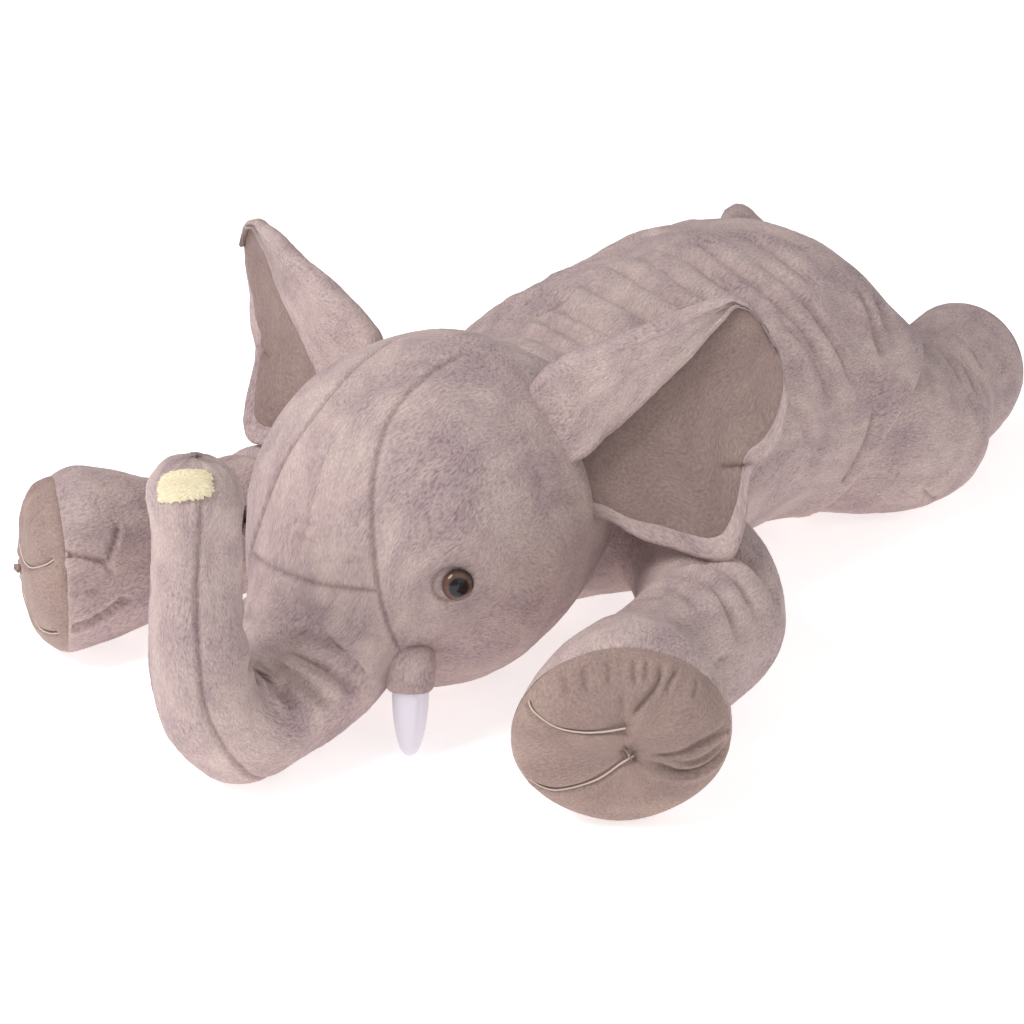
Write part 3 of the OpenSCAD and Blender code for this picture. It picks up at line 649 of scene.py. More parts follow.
front_left_skin, front_left_tree = build_front_leg(
    1, front_left_stations, front_folds, [front_seam], "front_left_leg", 11)
front_right_skin, front_right_tree = build_front_leg(
    -1, front_right_stations, front_folds[:3], [], "front_right_leg", 21)
for piece, label in ((front_left_skin, "left"), (front_right_skin, "right")):
    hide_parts(f"front_{label}_cover", f"front_{label}_stuffing")
    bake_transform(piece)


# ---- Front soles ----
# An oval of smooth velour sewn round the rim of each foot and stuffed to a dome. Two
# threads are pulled from its edge to two points near its middle to draw it into toes.

# The third colour is the painted shade laid in the furrows between tufts.
sole_cloth = pile_material("taupe_sole_velour", tone(168, 145, 136), tone(149, 127, 121),
                           tone(138, 117, 112), 0.3, 0.0013, 0.22)
# How far out from the rim, and the share of the rim's size there.
sole_dome = [(-5.0, 0.86), (-1.5, 0.965), (1.5, 0.99), (7.0, 0.98), (14.0, 0.93), (21.0, 0.84),
             (27.5, 0.69), (32.0, 0.49), (34.5, 0.26), (35.5, 0.03)]


def sole_grid(rim, rows=72, cols=190):
    """The sole's dome over the rim of a foot, from behind the seam out to its middle."""
    x, y, z, turn, wide, high = rim
    a = math.radians(turn)
    stations = []
    for out, share in sole_dome:
        stations.append(upright(x + out * math.sin(a), y - out * math.cos(a), z, turn,
                                wide * share, high * share))
    return ovals(even_rows(stations, rows), cols)


def on_sole(tree, rim, places):
    """Points of the sole's dome, from shares of its half width across and half height up."""
    x, y, z, turn, wide, high = rim
    a = math.radians(turn)
    way, across = Vector((math.sin(a), -math.cos(a), 0)), Vector((math.cos(a), math.sin(a), 0))
    found = []
    for over, up in places:
        inside = min(1.0, 0.965 / max(math.hypot(over, up), 1e-6))
        aim = Vector((x, y, z)) + across * over * inside * wide + Vector((0, 0, up * inside * high))
        found.append(tuple(tree.ray_cast((aim + way * 80) * MM, -way)[0] / MM))
    return found


def gather(grid, point, wide, deep):
    """A point where a thread pulls the cloth in."""
    gap = np.linalg.norm(grid[..., :3] - np.array(point) * MM, axis=2)
    pull = deep * MM * (np.exp(-(gap / (wide * MM)) ** 2) + 0.5 * np.exp(-gap / (wide * 2.4 * MM)))
    grid[..., :3] -= calm_facing(grid) * pull[..., None]
    # Painted shade in the dimple where the thread pulls.
    grid[..., 3] += 0.35 * np.exp(-(gap / (0.3 * wide * MM)) ** 2)


def strand(name, points, thick, finish):
    """A sewing thread along a smooth line of points."""
    line = smooth_line(points, 60) / MM
    run = np.gradient(line, axis=0)
    run /= np.linalg.norm(run, axis=1, keepdims=True)
    first = np.cross(run, (0, 0, 1))
    first /= np.linalg.norm(first, axis=1, keepdims=True)
    second = np.cross(run, first)
    size = np.full((60, 1), thick / 2)
    size[0] = size[-1] = 0.05
    return skin(name, ovals(np.concatenate([line, first * size, second * size], 1), 10), finish)


thread_finish, tree, out = material("pale_thread")
place = add(tree, "ShaderNodeUVMap", uv_map="cloth")
twist = add(tree, "ShaderNodeTexWave", "twist of the thread", Scale=700.0)
tint = add(tree, "ShaderNodeMix", data_type="RGBA")
tint.inputs[6].default_value = tone(214, 196, 184)
tint.inputs[7].default_value = tone(188, 169, 158)
surface = add(tree, "ShaderNodeBsdfPrincipled", Roughness=0.6)
tree.links.new(place.outputs["UV"], twist.inputs["Vector"])
tree.links.new(twist.outputs["Fac"], tint.inputs[0])
tree.links.new(tint.outputs[2], surface.inputs["Base Color"])
tree.links.new(surface.outputs[0], out.inputs["Surface"])

# Points on the soles are in shares across and up the oval. A fold's last number is how much
# painted shade lies along it.
gathers = [(0.01, 0.29), (0.085, -0.03)]
threads = [[(-0.87, 0.48), (-0.80, 0.38), (-0.62, 0.27), (-0.40, 0.23), (-0.20, 0.24), (0.01, 0.28)],
           [(-0.86, -0.44), (-0.72, -0.50), (-0.56, -0.485), (-0.26, -0.33), (-0.03, -0.12),
            (0.085, -0.03)]]
sole_folds = [
    ([(0.03, 0.34), (0.10, 0.48), (0.29, 0.72), (0.35, 0.90)], 2.8, 3.4, 0.22),
    ([(0.36, 0.62), (0.40, 0.73), (0.50, 0.82)], 2.6, 2.4, 0.18),
    ([(0.0, 0.33), (-0.02, 0.48), (-0.02, 0.66)], 2.8, 1.4, 0.06),
    ([(-0.34, 0.90), (-0.34, 0.64)], 2.6, 1.6, 0.08), ([(-0.13, 0.95), (-0.13, 0.70)], 2.6, 1.6, 0.08),
    ([(0.10, 0.95), (0.09, 0.72)], 2.6, 1.8, 0.1), ([(0.22, 0.93), (0.18, 0.74)], 2.4, 1.5, 0.08),
    ([(0.66, 0.70), (0.60, 0.52)], 2.6, 1.8, 0.1), ([(-0.52, 0.80), (-0.50, 0.60)], 2.6, 1.3, 0.06),
    ([(0.12, -0.03), (0.43, -0.05), (0.71, 0.05), (0.97, 0.17)], 3.0, 3.2, 0.2),
    ([(0.12, -0.06), (0.25, -0.14), (0.50, -0.27), (0.72, -0.27), (0.90, -0.14), (0.97, 0.02)],
     3.2, 4.2, 0.28),
    ([(0.34, -0.09), (0.62, -0.16), (0.82, -0.08), (0.95, 0.06)], 2.4, 2.0, 0.12),
    ([(0.94, 0.12), (0.97, 0.02)], 3.0, 2.0, 0.25)]
for side, label, rim in ((1, "left", front_left_stations[-1]), (-1, "right", front_right_stations[-1])):
    form = sole_grid(rim)
    tree = form_tree(form)
    grid = cut_out(form)
    uneven(grid, 31 + side, (8, 12), 0.5)
    for place in on_sole(tree, rim, gathers):
        gather(grid, place, 8.0, 4.0)
    for number, places in enumerate(threads):
        line = on_sole(tree, rim, places)
        fold(grid, line, 2.6, 2.6, lip=0.3, ends=0.02, dark=0.12)
        a = math.radians(rim[3])
        sunk = [Vector(q) - Vector((math.sin(a), -math.cos(a), 0)) * 1.4 for q in line]
        if side < 0:
            sunk = [Vector((-q.x, q.y, q.z)) for q in sunk]
        thread = strand(f"front_{label}_thread_{number + 1}", sunk, 1.5, thread_finish)
        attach(thread, f"front_{label}_leg")
        if number == 0:
            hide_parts(f"front_{label}_threads")
    for places, wide, deep, dark in sole_folds:
        fold(grid, on_sole(tree, rim, places), wide, deep, dark=dark)
    if side < 0:
        grid = mirrored(grid)
    sole = skin(f"front_{label}_sole_skin", grid, sole_cloth, shift=0.5 * side)
    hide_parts(f"front_{label}_sole")
    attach(sole, f"front_{label}_leg")


# ---- Hind legs ----
# A round haunch, tight against the flank, and a short thick foot that points backwards,
# both in one plush cover. The seam between torso and haunch runs down to the floor.

hind_stations = [(92, 176, 92, 183, 12, 12), (97, 186, 90, 183, 34, 36), (106, 205, 84, 183, 52, 55),
                 (118, 236, 78, 183, 65, 66), (131, 272, 74, 183, 73, 73), (138, 312, 73, 184, 75, 74),
                 (135, 344, 71, 186, 71, 71), (128, 374, 69, 190, 65, 68), (119, 402, 69, 192, 63, 67),
                 (111, 432, 70, 192, 65, 69), (102, 470, 71, 191, 67, 70), (95, 502, 71, 188, 66, 69)]
hind_folds = [
    ([(124, 388, 136), (150, 374, 128), (170, 356, 118), (188, 334, 100)], 6, 5.0),
    ([(118, 408, 136), (146, 394, 129), (168, 378, 114), (182, 362, 94)], 6, 5.0),
    ([(126, 426, 136), (150, 418, 126), (168, 406, 110)], 5, 4.0),
    ([(112, 370, 142), (138, 360, 139), (160, 342, 132), (184, 316, 117)], 6, 4.0),
    ([(150, 286, 146), (176, 276, 130), (196, 268, 106)], 7, 2.4),
]
hind_seams = [[(150, 262, 96), (166, 256, 74), (180, 262, 46), (184, 292, 20)],
              [(184, 282, 58), (166, 262, 52), (146, 256, 46)]]
hind_trees = {}
for side, label in ((1, "left"), (-1, "right")):
    grid = ovals(even_rows(tucked(hind_stations), 110), 92)
    if side < 0:
        grid = mirrored(grid)
    swell(grid, torso_tree, 60)
    hind_trees[label] = form_tree(grid)
    grid = cut_out(grid)
    uneven(grid, 41 + side, (9, 6), 1.1)
    uneven(grid, 43 + side, (30, 24), 0.35)
    for points, wide, deep in hind_folds:
        fold(grid, points if side > 0 else other_side(points), wide, deep)
    for points in hind_seams:
        seam(grid, points if side > 0 else other_side(points))
    uneven(grid, 45 + side, (100, 80), 0.10)
    piece = skin(f"hind_{label}_leg_skin", grid, plush, shift=1.7 + side)
    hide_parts(f"hind_{label}_cover", f"hind_{label}_stuffing")
    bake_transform(piece)
    form = cut_out(sole_grid(hind_stations[-1], rows=40, cols=110))
    sole = skin(f"hind_{label}_sole_skin", form if side > 0 else mirrored(form), sole_cloth,
                shift=2.2 + side)
    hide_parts(f"hind_{label}_sole")
    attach(sole, f"hind_{label}_leg")


# ---- Tail ----
# A short stub of plush, stuffed and closed to a rounded end. It is sewn into the seam at
# the top of the rump and leans over to the toy's right.

tail_way = Vector((-0.70, -0.24, 0.67)).normalized()
tail_side = tail_way.cross(Vector((0, 0, 1))).normalized()
tail_top = tail_side.cross(tail_way)
tail_root = Vector((-20, 326, 210))
tail_stations = []
for far, thick in ((-14, 8), (-6, 17), (8, 19.5), (24, 18.5), (40, 17.5), (54, 16.5), (63, 13), (68, 8),
                   (70, 2)):
    c, a, b = tail_root + tail_way * far, tail_top * thick, tail_side * thick
    tail_stations.append((*c, *a, *b))
grid = ovals(even_rows(tail_stations, 44), 44)
swell(grid, torso_tree, 14)
tail_tree = form_tree(grid)
grid = cut_out(grid)
uneven(grid, 51, (6, 5), 0.6)
uneven(grid, 52, (24, 24), 0.25)
tail = skin("tail_skin", grid, plush, shift=3.1)
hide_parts("tail_cover", "tail_stuffing")
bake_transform(tail)


# ---- Head ----
# Two side panels and a narrow panel down the middle of the face, sewn round a firm ball of
# filling. The middle panel is pieced across at eye height, and the chin lies on the floor.

def facewise(y_up, z_up, y_low, z_low, wide):
    """A station of the head or trunk, from its upper and lower points."""
    return (0, (y_up + y_low) / 2, (z_up + z_low) / 2, 0, (y_up - y_low) / 2, (z_up - z_low) / 2,
            -wide, 0, 0)


head_stations = [facewise(*s) for s in (
    (-112, 188, -112, 108, 42), (-116, 214, -116, 84, 70), (-128, 240, -128, 60, 94),
    (-146, 260, -146, 38, 110), (-170, 276, -170, 22, 122), (-200, 287, -200, 11, 132),
    (-240, 293, -240, 3, 141), (-282, 292, -278, 3, 142), (-322, 282, -312, 10, 133),
    (-358, 262, -340, 21, 117), (-388, 235, -360, 29, 99), (-408, 198, -373, 31, 84),
    (-424, 158, -382, 28, 73), (-438, 134, -391, 20, 66), (-442, 127, -396, 20, 61),
    (-438, 122, -398, 26, 52), (-430, 112, -400, 40, 34), (-424, 100, -404, 60, 6))]
grid = ovals(even_rows(head_stations, 170), 210)
swell(grid, torso_tree, 22)
head_tree = form_tree(grid)
grid = cut_out(grid)
uneven(grid, 61, (8, 8), 1.2)
uneven(grid, 62, (34, 36), 0.35)
face_seam = [(34, -250, 292), (33, -300, 288), (33, -345, 266), (40, -374, 238), (48, -390, 208),
             (56, -399, 178), (64, -404, 146), (70, -402, 118), (73, -392, 90)]
brow_seam = [(-64, -406, 144), (-40, -419, 146), (-8, -427, 147), (24, -427, 147), (48, -417, 146),
             (64, -405, 144)]
for points in (face_seam, other_side(face_seam), brow_seam):
    seam(grid, points)
for points, wide, deep in (
        ([(-18, -411, 186), (-2, -414, 187), (12, -412, 186)], 3.2, 2.4),
        ([(-14, -416, 174), (3, -418, 176), (18, -416, 173)], 3.2, 2.2),
        ([(12, -423, 162), (36, -416, 165), (60, -404, 167)], 3.2, 1.6),
        ([(-36, -430, 128), (0, -437, 130), (30, -430, 127), (52, -418, 122)], 5, 2.6),
        ([(40, -424, 118), (58, -412, 112), (68, -402, 104)], 4, 2.2)):
    fold(grid, points, wide, deep)
for side, label in ((1, "left"), (-1, "right")):
    low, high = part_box(f"eye_{label}")
    socket = np.array([side * 0.1035, -0.3655, (low.z + high.z) / 2])
    gap = np.linalg.norm(grid[..., :3] - socket, axis=2) / MM
    grid[..., :3] -= facing(grid) * (3.0 * MM * np.exp(-(gap / 17) ** 2))[..., None]
    # Painted shade: a dark ring round each eye, in the hollow where the cloth meets it.
    grid[..., 3] += 0.55 * np.exp(-((gap - 14) / 2.2) ** 2)
uneven(grid, 63, (110, 120), 0.10)
head_skin = skin("head_skin", grid, plush, shift=4.0)
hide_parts("head_left_panel", "head_right_panel", "forehead_panel", "chin_panel",
            "head_stuffing")
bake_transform(head_skin)


# ---- Eyes ----
# Safety eyes of brown plastic with a black pupil, pressed through the cloth from outside
# and held by a moulded washer behind it.

def eye_material(label):
    """Glossy plastic, with a black pupil and a brown ring round the eye's own axis."""
    low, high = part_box(f"eye_{label}")
    side = 1 if label == "left" else -1
    axis = Vector((side * 0.83, -0.55, 0.06)).normalized()
    middle = (low + high) / 2
    made, tree, out = material(f"eye_plastic_{label}")
    place = add(tree, "ShaderNodeTexCoord")
    from_middle = add(tree, "ShaderNodeVectorMath", operation="SUBTRACT")
    from_middle.inputs[1].default_value = middle
    crossed = add(tree, "ShaderNodeVectorMath", operation="CROSS_PRODUCT")
    crossed.inputs[1].default_value = axis
    radius = add(tree, "ShaderNodeVectorMath", "distance from the axis", operation="LENGTH")
    rings = add(tree, "ShaderNodeValToRGB", "pupil and iris")
    scaled = add(tree, "ShaderNodeMath", "share of the eye's radius", operation="DIVIDE")
    scaled.inputs[1].default_value = 0.013
    ramp = rings.color_ramp
    ramp.elements[0].position = 0.56
    ramp.elements[0].color = tone(16, 13, 14)
    ramp.elements[1].position = 0.66
    ramp.elements[1].color = tone(92, 64, 54)
    for spot, colour in ((0.80, tone(104, 74, 62)), (0.93, tone(58, 40, 36)), (1.0, tone(24, 18, 18))):
        ramp.elements.new(spot).color = colour
    surface = add(tree, "ShaderNodeBsdfPrincipled", Roughness=0.18)
    surface.inputs["Specular IOR Level"].default_value = 0.25
    surface.inputs["Coat Weight"].default_value = 0.45
    surface.inputs["Coat Roughness"].default_value = 0.03
    tree.links.new(place.outputs["Object"], from_middle.inputs[0])
    tree.links.new(from_middle.outputs[0], crossed.inputs[0])
    tree.links.new(crossed.outputs[0], radius.inputs[0])
    tree.links.new(radius.outputs["Value"], scaled.inputs[0])
    tree.links.new(scaled.outputs[0], rings.inputs["Fac"])
    tree.links.new(rings.outputs["Color"], surface.inputs["Base Color"])
    tree.links.new(surface.outputs[0], out.inputs["Surface"])
    return made


washer_plastic, tree, out = material("white_moulded_plastic")
place = add(tree, "ShaderNodeTexCoord")
cloud = add(tree, "ShaderNodeTexNoise", "moulding marks", Scale=160.0)
tint = add(tree, "ShaderNodeMix", data_type="RGBA")
tint.inputs[6].default_value = tone(236, 236, 232)
tint.inputs[7].default_value = tone(224, 224, 220)
surface = add(tree, "ShaderNodeBsdfPrincipled", Roughness=0.5)
tree.links.new(place.outputs["Object"], cloud.inputs["Vector"])
tree.links.new(cloud.outputs["Fac"], tint.inputs[0])
tree.links.new(tint.outputs[2], surface.inputs["Base Color"])
tree.links.new(surface.outputs[0], out.inputs["Surface"])
for label in ("left", "right"):
    for node, finish in ((f"eye_{label}", eye_material(label)), (f"eye_washer_{label}", washer_plastic)):
        mesh = bpy.data.objects[node].data
        mesh.materials.clear()
        mesh.materials.append(finish)


# ---- Trunk ----
# One plush tube with a narrow panel on its underside. It leaves the face low down, bends up
# in front of it and ends in a rounded tip. The cloth bunches inside the bend.

trunk_stations = [facewise(*s) for s in (
    (-396, 120, -380, 60, 30), (-402, 136, -382, 44, 52), (-410, 142, -386, 30, 64),
    (-424, 142, -391, 20, 66), (-447, 124, -401, 12, 62), (-466, 108, -430, 5, 57),
    (-478, 99, -464, 1, 51.5), (-487, 94, -497, 0.5, 48), (-497, 97, -525, 9, 44.5),
    (-504, 104, -547, 29, 42), (-507, 113, -564, 51, 41), (-509, 124, -575, 80, 40),
    (-510, 140, -582, 118, 38), (-509, 165, -582, 155, 37), (-508, 195, -578, 192, 35),
    (-509, 222, -575, 224, 34.5), (-506, 250, -576, 253, 37), (-509, 265, -571, 269, 32),
    (-518, 276, -561, 279, 22.5), (-528, 282, -551, 283.4, 12), (-537, 284.4, -542, 284.4, 2))]
grid = ovals(even_rows(trunk_stations, 190), 110)
trunk_tree = form_tree(grid)
grid = cut_out(grid)
uneven(grid, 71, (14, 6), 0.9)
uneven(grid, 72, (44, 22), 0.35)
trunk_seam = [(24, -560, 270), (27, -566, 240), (27, -572, 190), (28, -574, 140), (28, -570, 96),
              (31, -556, 62), (30, -534, 30), (24, -500, 8), (20, -470, 2)]
for points in (trunk_seam, other_side(trunk_seam)):
    seam(grid, points)
for points, wide, deep in (
        ([(10, -470, 108), (36, -462, 100), (54, -446, 84), (62, -428, 62)], 5.1, 5.4),
        ([(8, -482, 99), (32, -476, 94), (48, -466, 78), (56, -452, 56)], 4.6, 5.1),
        ([(-6, -492, 97), (18, -492, 95), (36, -490, 84), (46, -484, 66)], 4.2, 4.8),
        ([(-4, -503, 102), (16, -504, 101), (32, -508, 94)], 3.8, 3.9),
        ([(14, -456, 118), (40, -444, 112), (58, -428, 98)], 4.6, 3.9),
        ([(6, -512, 120), (24, -520, 118), (34, -532, 112)], 4.6, 2.7),
        ([(20, -512, 150), (32, -522, 148)], 5.6, 2.4)):
    fold(grid, points, wide, deep)
    if points[0][0] > 6:
        fold(grid, other_side(points), wide, deep * 0.8)
uneven(grid, 73, (120, 80), 0.10)
trunk_skin = skin("trunk_skin", grid, plush, shift=5.3)
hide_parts("trunk_base_cover", "trunk_tip_panel", "trunk_under_panel",
            "trunk_tip_stuffing")
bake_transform(trunk_skin)


# ---- Nostril patch ----
# A small piece of cream velour let into the top of the trunk's tip, its cut edge left raw.

# The third colour is the painted shade laid in the furrows between tufts.
nostril_cloth = pile_material("cream_velour", tone(233, 221, 190), tone(222, 207, 172),
                              tone(200, 182, 142), 0.3, 0.003, 0.5)
patch_face = Vector((0.34, -0.72, 0.60)).normalized()
patch_over = Vector((0.80, 0.59, 0.10))
patch_over = (patch_over - patch_face * patch_over.dot(patch_face)).normalized()
patch_up = patch_face.cross(patch_over)
patch_middle = Vector((10, -562, 270))
patch_wide, patch_high, patch_points = 20.5, 12.0, 96
edge_wave = np.random.default_rng(81).normal(size=patch_points)
upper, under = [], []
for share in (0.06, 0.3, 0.55, 0.75, 0.88, 0.96, 1.0):
    ring_up, ring_down = [], []
    for k in range(patch_points):
        angle = -2 * math.pi * k / patch_points
        c, n = math.cos(angle), math.sin(angle)
        boxy = (abs(c) ** 3.4 + abs(n) ** 3.4) ** (-1 / 3.4)
        ragged = 1.0 + (0.035 if n > 0 else 0.06) * edge_wave[k] * share ** 4
        reach = share * boxy * ragged
        aim = patch_middle + patch_over * c * reach * patch_wide + patch_up * n * reach * patch_high
        spot, normal = trunk_tree.ray_cast((aim + patch_face * 40) * MM, -patch_face)[:2]
        ring_up.append(spot + normal * (2.0 if share < 0.9 else 1.2) * MM)
        ring_down.append(spot - normal * 1.4 * MM)
    upper.append(ring_up)
    under.append(ring_down)
nostril = skin("nostril_patch_skin", np.array(upper + under[::-2]), nostril_cloth)
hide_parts("nostril_patch")
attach(nostril, "trunk_tip")


# ---- Tusks and their collars ----
# A white satin cone, stuffed hard, stands in a rolled plush collar below each cheek.

satin, tree, out = material("white_satin")
place = add(tree, "ShaderNodeUVMap", uv_map="cloth")
weave = add(tree, "ShaderNodeTexWave", "satin threads", Scale=260.0, Distortion=1.5, Detail=1.0)
tint = add(tree, "ShaderNodeMix", data_type="RGBA")
tint.inputs[6].default_value = tone(238, 233, 243)
tint.inputs[7].default_value = tone(228, 221, 234)
relief = add(tree, "ShaderNodeBump", "threads", Strength=0.12)
relief.inputs["Distance"].default_value = 0.0003
surface = add(tree, "ShaderNodeBsdfPrincipled", Roughness=0.42)
surface.inputs["Sheen Weight"].default_value = 0.15
tree.links.new(place.outputs["UV"], weave.inputs["Vector"])
tree.links.new(weave.outputs["Fac"], tint.inputs[0])
tree.links.new(weave.outputs["Fac"], relief.inputs["Height"])
tree.links.new(tint.outputs[2], surface.inputs["Base Color"])
tree.links.new(relief.outputs["Normal"], surface.inputs["Normal"])
tree.links.new(surface.outputs[0], out.inputs["Surface"])

tusk_root = Vector((79, -385, 60))
tusk_way = Vector((0.11, -0.19, -1.0)).normalized()
tusk_side = Vector((1, 0, 0)).cross(tusk_way).normalized()
tusk_front = tusk_way.cross(tusk_side)


def along_tusk(profile):
    """Stations on the tusk's axis: distance from its root, half width, half depth."""
    made = []
    for far, wide, deep in profile:
        made.append((*(tusk_root + tusk_way * far), *(tusk_side * wide), *(tusk_front * deep)))
    return made


tusk_profile = [(-16, 5, 5), (-13, 11, 11), (-6, 14, 14), (4, 15, 14.4), (15, 15, 14.2), (26, 14.2, 13.4),
                (36, 12.6, 12), (46, 10.2, 9.8), (53, 7.6, 7.4), (57, 4.8, 4.8), (59, 1.6, 1.6)]
collar_profile = [(-34, 6, 6), (-31, 14, 14), (-24, 19, 18.5), (-13, 20.5, 20), (-3, 20, 19.5),
                  (2.5, 18.4, 18), (4.5, 16.6, 16.2), (3.0, 15.4, 15), (-4, 14.6, 14.4), (-12, 10, 10),
                  (-16, 3, 3)]
for side, label in ((1, "left"), (-1, "right")):
    grid = cut_out(ovals(even_rows(along_tusk(tusk_profile), 48), 56))
    line = [tuple(tusk_root + tusk_way * far - tusk_side * r * 0.35 + tusk_front * r * 0.92)
            for far, r in ((4, 14.2), (16, 14), (28, 12.8), (40, 10), (48, 6.5))]
    fold(grid, line, 1.8, 0.9, lip=0.6, ends=0.1, dark=0.05)
    tusk = skin(f"tusk_{label}_skin", grid if side > 0 else mirrored(grid), satin)
    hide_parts(f"tusk_{label}")
    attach(tusk, "head")
    grid = cut_out(ovals(even_rows(along_tusk(collar_profile), 52), 56))
    uneven(grid, 91, (8, 7), 0.7)
    if side < 0:
        grid = mirrored(grid)
    collar = skin(f"tusk_collar_{label}_skin", grid, plush, shift=6.1)
    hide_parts(f"tusk_collar_{label}")
    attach(collar, "head")


# ---- Ears ----
# Each is a plush back and a smooth velour front with thin wadding between them, turned so
# that the plush shows as a rim. The top third is folded forwards and caught at the root.

# The third colour is the painted shade laid in the furrows between tufts.
lining_cloth = pile_material("taupe_ear_velour", tone(153, 132, 126), tone(138, 117, 112),
                             tone(120, 100, 96), 0.3, 0.0016, 0.2)


def reading(table, at):
    """Smooth reading of a table of (place, value) at the places given."""
    table = np.array(table, float)
    spots = np.array(at, float)
    k = np.clip(np.searchsorted(table[:, 0], spots) - 1, 0, len(table) - 2)
    f = (spots - table[k, 0]) / (table[k + 1, 0] - table[k, 0])
    slopes = np.gradient(table[:, 1], table[:, 0])
    wide = table[k + 1, 0] - table[k, 0]
    f2, f3 = f * f, f * f * f
    return ((2 * f3 - 3 * f2 + 1) * table[k, 1] + (f3 - 2 * f2 + f) * wide * slopes[k]
            + (3 * f2 - 2 * f3) * table[k + 1, 1] + (f3 - f2) * wide * slopes[k + 1])


# All against the distance from the root: the lower edge, the ridge and the flap's width.
ear_lower = [(-34, 96), (-16, 112), (8, 130), (22, 148), (46, 168), (67, 186), (78, 193), (90, 193),
             (100, 184), (112, 168), (121, 152), (127, 141), (134, 135), (146, 131), (159, 122),
             (172, 106), (182, 84), (187, 58)]
ear_ridge = [(-34, 40), (-16, 18), (4, 4), (24, 0), (60, 0), (120, 1), (158, 3), (174, 8), (183, 26),
             (187, 50)]
ear_flap = [(-34, 40), (-16, 56), (10, 69), (40, 62), (80, 47), (120, 30), (150, 16), (170, 6), (187, 2)]


def ear_path(rows, t):
    """Middle line of the ear's padding for every row: up the front, over the ridge, down."""
    lower, ridge = reading(ear_lower, rows), reading(ear_ridge, rows)
    flap = np.maximum(reading(ear_flap, rows), 2.0)
    roll = 2.0 + 6.0 * np.clip(flap / 34.0, 0, 1)
    u, w, un, wn = (np.zeros((len(rows), len(t))) for _ in range(4))
    for i in range(len(rows)):
        r = roll[i]
        up = np.clip(t / 0.52, 0, 1)
        turn = np.clip((t - 0.52) / 0.16, 0, 1) * math.pi
        down = np.clip((t - 0.68) / 0.32, 0, 1)
        drop = max(flap[i] - r, 1.5)
        u[i] = lower[i] + (ridge[i] + r - lower[i]) * up - r * np.sin(turn) + drop * down
        w[i] = r * (1 - np.cos(turn)) + 5.0 * np.sin(down * math.pi * 0.6) * min(1, drop / 40)
        un[i] = -np.sin(turn)
        wn[i] = -np.cos(turn)
    return u, w, un, wn


def ear_frame(sweep):
    """The left ear's root, its way down the root, its way out and its front, in millimetres."""
    joint = next(j for j in frame["joints"] if j["name"] == "ear_left_flap")
    root, along = Vector(joint["pos_m"]) / MM, Vector(joint["axis"])
    along = along if along.z < 0 else -along
    away = Vector((-along.z, 0, along.x)) * math.cos(sweep) + Vector((0, 1, 0)) * math.sin(sweep)
    return root, along, away, along.cross(away)


def ear_place(sweep, u, v, w):
    """Points of the ear in metres: u down from the root, v out from it, w to the front."""
    root, along, away, front = ear_frame(sweep)
    return (np.array(root) + u[..., None] * np.array(along) + v[..., None] * np.array(away)
            + w[..., None] * np.array(front)) * MM


# Rows of the ear's grid, out from the root, and closer together round its far end.
ear_end = 187
ear_rows = np.concatenate([np.linspace(-34, 160, 70),
                           160 + 27 * np.sin(np.linspace(0, 1, 19)[1:] * math.pi / 2)])


def ear_cup(u, v, droop=0.0):
    """The ear's slow hollow towards the front, and how far its outer end droops back."""
    share = np.clip(v / ear_end, 0, 1)
    return (-7.0 * np.sin(share * math.pi) * np.sin(np.clip(u / 190, 0, 1) * math.pi)
            + 5.0 * np.clip((u - 120) / 70, 0, 1) ** 2
            - droop * share ** 2 * np.clip((u - 10) / 100, 0, 1))


